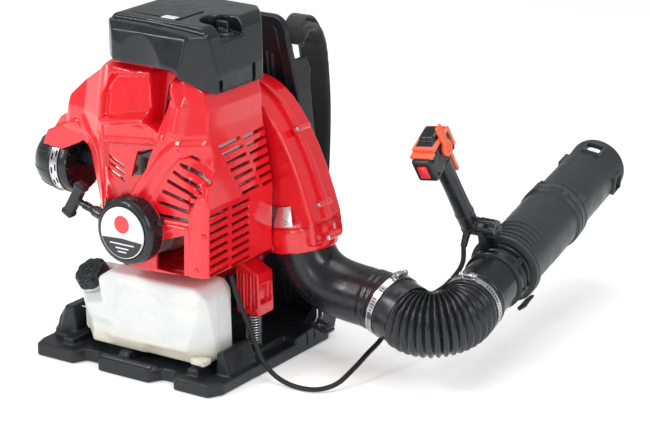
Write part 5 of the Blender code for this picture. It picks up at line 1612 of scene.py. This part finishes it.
def make_starter():
    """Domed case with a stepped, ridged rim, screws and rope guide, and the plain badge on its face."""
    front = CRANK + Y * (SHROUD_FRONT - 0.0003)
    case = turned([(0, 0.0268), (0.0395, 0.0268), (0.0415, 0.0285), (0.0445, 0.0285), (0.048, 0.0262),
                   (0.0503, 0.021), (0.051, 0.017), (0.0512, 0.003), (0.0518, 0), (0.047, 0),
                   (0.045, 0.024), (0, 0.024)], front, -Y, 128)
    eyelet = rod(0.0085, ROPE_EXIT, PULL_DIR, 0.05, 0.064)
    flare = turned([(0.003, 0.002), (0.005, 0.003), (0.0078, 0.0024), (0.0088, 0.0), (0.0085, -0.003),
                    (0.003, -0.003)], ROPE_EXIT + PULL_DIR * 0.064, PULL_DIR, 48, True)
    case = cut(join(case, eyelet), rod(0.003, ROPE_EXIT, PULL_DIR, 0.04, 0.08, 32))
    extras = [flare]
    for i in range(3):
        out = compass(20 + 120 * i, Y)
        lug = rod(0.0055, front + out * 0.053, Y, 0.0002, -0.01, 32)
        extras.append(bevel(lug, 0.001, 2))
        extras.append(screw_head(front + out * 0.0535 - Y * 0.01, -Y, 0.0026))
    for i in range(40):
        out = compass(9 * i, Y)
        extras.append(block((0.0016, 0.012, 0.0016), front + out * 0.051 - Y * 0.0095, 0.0004, 1, out, Y))
    finish([case] + extras, "starter_case_moulding", "black_shell", "chassis", "starter_case", 35)
    face = front - Y * 0.0288
    disc = turned([(0, 0.002), (BADGE_R - 0.001, 0.002), (BADGE_R - 0.0002, 0.0016), (BADGE_R, 0.0002),
                   (0, 0.0002)], face, -Y, 128)
    left, right, shoulder = CRANK.x - 0.06, CRANK.x + 0.06, CRANK.z - 0.012
    lower = outline_solid([(left, CRANK.z - 0.06), (right, CRANK.z - 0.06), (right, shoulder),
                           (CRANK.x, CRANK.z - 0.0085), (left, shoulder)], face.y - 0.0024, face.y - 0.0014)
    lower = keep(lower, rod(0.038, face, Y, 0, -0.01, 96))
    centre = face + Z * 0.013
    roundel = bevel(rod(0.0135, centre, Y, -0.0017, -0.0024, 96), 0.0002, 1, 60)
    rules = [block((w, 0.0006, 0.002), face - Z * z - Y * 0.0026, 0.0002, 1)
             for w, z in ((0.044, 0.017), (0.024, 0.0235), (0.016, 0.029))]
    finish(disc, "badge_disc", "badge_white", "chassis", "starter_badge", 35)
    finish(lower, "badge_lower", "black_shell")
    finish(roundel, "badge_roundel", "red_shell")
    finish(rules, "badge_rules", "badge_white")


def make_pull():
    """Moulded T grip with finger swell and neck ribs, and its braided rope."""
    foot = ROPE_EXIT + PULL_DIR * 0.067
    head = foot + PULL_DIR * 0.032
    bar = Vector((-0.5, 0, -0.85)).normalized()
    neck = turned([(0, 0.034), (0.0058, 0.034), (0.005, 0.022), (0.0054, 0.012), (0.0062, 0.004),
                   (0.006, 0.0004), (0, 0.0004)], foot, PULL_DIR, 48)
    body = box((0.0168, 0.0158, 0.0615), head + PULL_DIR * 0.004, bar, Y)
    ends = [box((0.02, 0.017, 0.01), head + PULL_DIR * 0.004 + bar * s, bar, Y) for s in (-0.025, 0.025)]
    grip = moulded(join(bevel(body, 0.004, 3), neck, *[bevel(e, 0.003, 2) for e in ends]), 0.0008, 8)
    ribs = [hoop(0.0045, 0.0064, foot, PULL_DIR, s, s + 0.0012, 32) for s in (0.008, 0.012, 0.016)]
    finish([grip] + ribs, "starter_pull_grip", "black_shell", "pull", "starter_grip", 40)
    start, end = ROPE_EXIT + PULL_DIR * 0.04, ROPE_EXIT + PULL_DIR * 0.0667
    count = 60
    path = [start + (end - start) * k / count for k in range(count + 1)]
    radii = [0.0018 - 0.0003 * (0.5 - 0.5 * math.cos(2 * math.pi * k / 4)) for k in range(count + 1)]
    rope = finish(loft(path, radii, 16), "starter_rope_braid", "webbing", None, "starter_rope", 60)
    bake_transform(rope)


make_starter()
make_pull()


# ---- air cleaner ----
DOME_RIB = [(0.0496, 0.008), (0.0482, 0.016), (0.0462, 0.0235), (0.0435, 0.03), (0.0402, 0.0345),
            (0.037, 0.0382), (0.033, 0.0415), (0.029, 0.0436), (0.026, 0.045), (0.022, 0.047),
            (0.019, 0.0476), (0.015, 0.0484), (0.011, 0.049)]
INTAKE_Y, INTAKE_Z = -0.062, 0.302


def make_air_cleaner():
    """Faceted dome with a stepped lip, slotted bright band and ribbed back case."""
    start = AIR_CLEANER - X * 0.0146
    dome = turned([(0, 0.0498), (0.01, 0.0494), (0.022, 0.047), (0.033, 0.0415), (0.041, 0.0335),
                   (0.0465, 0.0225), (0.0492, 0.011), (0.0498, 0.005), (0.0498, 0.001), (0.0492, 0),
                   (0.044, 0), (0.044, 0.01), (0.04, 0.026), (0.025, 0.04), (0, 0.044)], start, -X, 96)
    extras = [hoop(0.0485, 0.0502, start, X, -0.003, -0.0044, 96)]
    for i in range(10):
        out = compass(36 * i + 10)
        extras.append(cord([start - X * (h - 0.0002) + out * r for r, h in DOME_RIB], 0.0008, 10))
    knob = turned([(0, 0.053), (0.006, 0.0525), (0.0085, 0.05), (0.009, 0.047), (0, 0.047)], start, -X, 48)
    finish([dome, knob] + extras, "air_cleaner_dome", "black_shell", "chassis", "air_cleaner_cover", 35)
    band = hoop(0.047, 0.0492, AIR_CLEANER, X, -0.0003, -0.0143, 128)
    holes = []
    for i in range(14):
        for row in (-0.0035, 0.0035):
            out = compass(360 * i / 14 + (6 if row > 0 else 0))
            holes.append(box((0.01, 0.003, 0.01), AIR_CLEANER - X * (0.0073 + row) + out * 0.048, out, X))
    band = cut(band, gather(holes))
    beads = [hoop(0.048, 0.0496, AIR_CLEANER, X, -s, -(s + 0.0012), 128) for s in (0.0005, 0.013)]
    # Near-black, rough sleeve just inside the slotted band; the slots show it as their dark inside.
    core = hoop(0.043, 0.046, AIR_CLEANER, X, -0.0006, -0.014)
    finish([band] + beads, "filter_band_strap", "steel", "chassis", "filter_band", 35)
    finish(core, "filter_band_core", "soot", smooth=35)
    case = turned([(0, 0.0002), (0.047, 0.0002), (0.048, 0.0012), (0.048, 0.009), (0.0455, 0.014),
                   (0.03, 0.016), (0, 0.016)], AIR_CLEANER, X, 96)
    throat = cylinder(0.019, (-0.15, INTAKE_Y, INTAKE_Z), (-0.0955, INTAKE_Y, INTAKE_Z), 64)
    ribs = [ring(0.018, 0.0205, (x, INTAKE_Y, INTAKE_Z), (x + 0.0016, INTAKE_Y, INTAKE_Z), 64)
            for x in (-0.134, -0.126, -0.118)]
    spokes = [box((0.0016, 0.004, 0.02), AIR_CLEANER + X * 0.015 + out * 0.034, out, X)
              for out in (compass(30 * i) for i in range(12))]
    finish([join(case, throat)] + ribs + spokes, "air_cleaner_back", "black_shell", "chassis",
           "air_cleaner_case", 35)


make_air_cleaner()


# ---- harness: foam back pad, shoulder straps, webbing and buckle ----
CLOTH_FRAMES = 20


def inflate(item, pressure, reach, voxel):
    """Fill a fabric cover with cloth pressure, with no point moving further than the reach."""
    modify(item, "REMESH", mode="VOXEL", voxel_size=voxel)
    item = bake(item)
    before = coordinates_of(item).copy()
    cloth = item.modifiers.new("cloth", "CLOTH")
    cloth.settings.use_pressure = True
    cloth.settings.uniform_pressure_force = pressure
    cloth.settings.effector_weights.gravity = 0
    cloth.settings.tension_stiffness = 25
    cloth.settings.compression_stiffness = 25
    cloth.settings.bending_stiffness = 0.3
    cloth.point_cache.frame_start = 1
    cloth.point_cache.frame_end = CLOTH_FRAMES
    for frame_number in range(1, CLOTH_FRAMES + 1):
        bpy.context.scene.frame_set(frame_number)
    item = bake(item)
    bpy.context.scene.frame_set(1)
    after = coordinates_of(item)
    if len(after) == len(before):
        moved = after - before
        far = np.linalg.norm(moved, axis=1, keepdims=True)
        after = before + moved * np.minimum(1, reach / np.maximum(far, 1e-9))
        item.data.vertices.foreach_set("co", after.ravel())
    modify(item, "SMOOTH", iterations=2)
    modify(item, "SUBSURF", levels=1, render_levels=1)
    return bake(item)


def crowned_pad(width, height, thick):
    """A quilted cushion, thickest in the middle of each channel, standing in XZ with its depth along Y."""
    columns, rows, channels, groove = 44, 88, 5, 0.5
    verts = []
    for face in (-1, 1):
        for i in range(rows + 1):
            for j in range(columns + 1):
                u, v = 2 * j / columns - 1, 2 * i / rows - 1
                edge = (max(0, 1 - abs(u) ** 7) * max(0, 1 - abs(v) ** 12)) ** 0.5
                channel = abs(math.sin(math.pi * channels * (v + 1) / 2)) ** 0.35
                quilt = 1 - groove * (1 - channel) * (1 if face > 0 else 0.3)
                depth = face * thick / 2 * edge * quilt
                corner = max(0, abs(u) + abs(v) - 1.72) * 0.12
                verts.append((width / 2 * u * (1 - corner), depth, height / 2 * v * (1 - corner)))
    return skin("pad", verts, sheet_faces(rows, columns))


def piping(points, radius):
    """Corded edging with a fine twist."""
    return loft(points, [radius * (1 + 0.1 * math.cos(2 * math.pi * k / 3))
                         for k in range(len(points))], 10)


def make_back_pad():
    """Quilted foam pad in a woven cover, with a corded edge."""
    pad = crowned_pad(0.138, 0.326, 0.0205)
    pad.matrix_world = Matrix.Translation((0, PLATE_Y + 0.0143 + 0.0108, 0.265))
    pad = lean_back(bake(pad))
    pad = inflate(pad, 2.5, 0.002, 0.0042)
    finish(pad, "back_pad_cushion", "soft_pad", "chassis", "back_pad", 180)
    edge = []
    for k in range(241):
        turn = 2 * math.pi * k / 240
        c, s = math.cos(turn), math.sin(turn)
        edge.append(Vector((0.068 * math.copysign(abs(c) ** 0.22, c), PLATE_Y + 0.0245,
                            0.265 + 0.162 * math.copysign(abs(s) ** 0.14, s))))
    finish(lean_back(piping(smooth_route(edge, 0.0014), 0.0015)), "back_pad_piping", "webbing",
           smooth=60)


STRAP_ROUTE = [(0.122, 0.468), (0.142, 0.491), (0.17, 0.486), (0.19, 0.445), (0.2, 0.37),
               (0.199, 0.29), (0.192, 0.215), (0.181, 0.155), (0.168, 0.118)]


def strap_skin(route, x_low, x_high, thick, bulge):
    """A flat padded band along a YZ route: a rounded, bulged section with soft cross wrinkles."""
    sides = 28
    path = smooth_route([(0, y, z) for y, z in route], 0.003)
    count = len(path)
    width = (x_high - x_low) / 2
    middle = (x_high + x_low) / 2
    verts = []
    for k, spot in enumerate(path):
        run = heading(path, k)
        normal = Vector((0, -run.z, run.y))
        end = min(k, count - 1 - k) / 6
        close = min(1.0, (0.25 + end) ** 0.5)
        wrinkle = 1 + 0.05 * math.sin(k * 0.9) + 0.03 * math.sin(k * 2.3 + 1)
        for i in range(sides):
            turn = 2 * math.pi * i / sides
            c, s = math.cos(turn), math.sin(turn)
            across = width * math.copysign(abs(c) ** 0.45, c) * min(1.0, 0.8 + end * 0.2)
            lift = thick / 2 * math.copysign(abs(s) ** 0.6, s) * (1 + bulge * abs(s)) * wrinkle * close
            verts.append(tuple(spot + X * (middle + across) + normal * lift))
    return skin("strap", verts, tube_faces(count, sides) + end_caps(count, sides))


def flat_webbing(points, width):
    """Flat webbing with raised selvedges, along a route, its width along X."""
    thick = 0.0016
    path = smooth_route(points, 0.0025)
    section = [(-1, -0.5), (-0.86, -0.7), (0.86, -0.7), (1, -0.5), (1, 0.5), (0.86, 0.7), (0, 0.5),
               (-0.86, 0.7), (-1, 0.5)]
    verts = []
    for k, spot in enumerate(path):
        run = heading(path, k)
        side = (X - run * X.dot(run)).normalized()
        normal = run.cross(side)
        for a, b in section:
            verts.append(tuple(spot + side * (a * width / 2) + normal * (b * thick)))
    sides = len(section)
    return skin("webbing", verts, tube_faces(len(path), sides) + end_caps(len(path), sides))


def make_strap(side, name):
    """Padded shoulder strap with edge piping, its webbing, ladder buckle and loose tail."""
    low, high = sorted((side * 0.077, side * 0.133))
    pad = strap_skin(STRAP_ROUTE, low, high, 0.0115, 0.12)
    pad = inflate(pad, 2.5, 0.0015, 0.0045)
    finish(pad, name + "_pad", "soft_pad", "chassis", name, 180)
    middle = (low + high) / 2
    trims = []
    for x in (low + 0.003, high - 0.003):
        trims.append(piping(smooth_route([(x, y, z) for y, z in STRAP_ROUTE], 0.0014), 0.0013))
    outer = [(middle, y + 0.0082, z) for y, z in STRAP_ROUTE[3:]]
    trims.append(flat_webbing(outer, 0.026))
    tail = [(middle, 0.18, 0.128), (middle, 0.186, 0.112), (middle + 0.002, 0.1885, 0.094),
            (middle + 0.003, 0.188, 0.074), (middle + 0.001, 0.185, 0.056)]
    trims.append(flat_webbing(tail, 0.026))
    top = [(middle, 0.125, 0.48), (middle, 0.14, 0.501), (middle, 0.156, 0.508), (middle, 0.172, 0.502),
           (middle, 0.188, 0.485)]
    trims.append(flat_webbing(top, 0.03))
    finish(trims, name + "_webbing", "webbing", smooth=60)
    run = Vector((0, 0.3, 0.95)).normalized()
    plate = block((0.04, 0.0035, 0.03), (middle, 0.1862, 0.126), 0.0014, 2, run, Y)
    for offset in (-0.0085, 0.0, 0.0085):
        plate = cut(plate, box((0.029, 0.02, 0.0046),
                               Vector((middle, 0.1862, 0.126)) + run * offset, run, Y))
    finish(plate, name + "_buckle", "black_shell")


def make_strap_buckle():
    """Clip on the right cheek: hinged block, bright hook and its rivet."""
    slope = Vector((0.35, 0, 0.94))
    plate = block((0.034, 0.024, 0.006), (0.191, 0.085, 0.04), 0.0014, 2, slope, Y)
    plate = cut(plate, block((0.016, 0.014, 0.03), (0.194, 0.085, 0.04), 0.001, 1, slope, Y))
    jaw = block((0.01, 0.02, 0.009), (0.201, 0.085, 0.04), 0.0016, 2, slope, Y)
    finish([plate, jaw], "harness_clip", "black_shell", "chassis", "strap_buckle", 40)
    hook = smooth_route([(0.18, 0.078, 0.044), (0.186, 0.078, 0.056), (0.186, 0.079, 0.07),
                         (0.1845, 0.082, 0.078), (0.185, 0.088, 0.078), (0.1865, 0.091, 0.07),
                         (0.1865, 0.092, 0.056), (0.181, 0.092, 0.044)], 0.001)
    rivet = screw_head((0.1945, 0.085, 0.042), slope, 0.0024, 0.0014)
    finish([cord(hook, 0.0013, 12), rivet], "harness_hook", "steel")


make_back_pad()
make_strap(-1, "shoulder_strap_left")
make_strap(1, "shoulder_strap_right")
make_strap_buckle()


# ---- carried-over nodes take the finished materials ----
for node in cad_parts.values():
    for spot in node.material_slots:
        wanted = spot.material.name.split(".")[0] if spot.material else ""
        if wanted in MATERIAL:
            spot.material = MATERIAL[wanted]
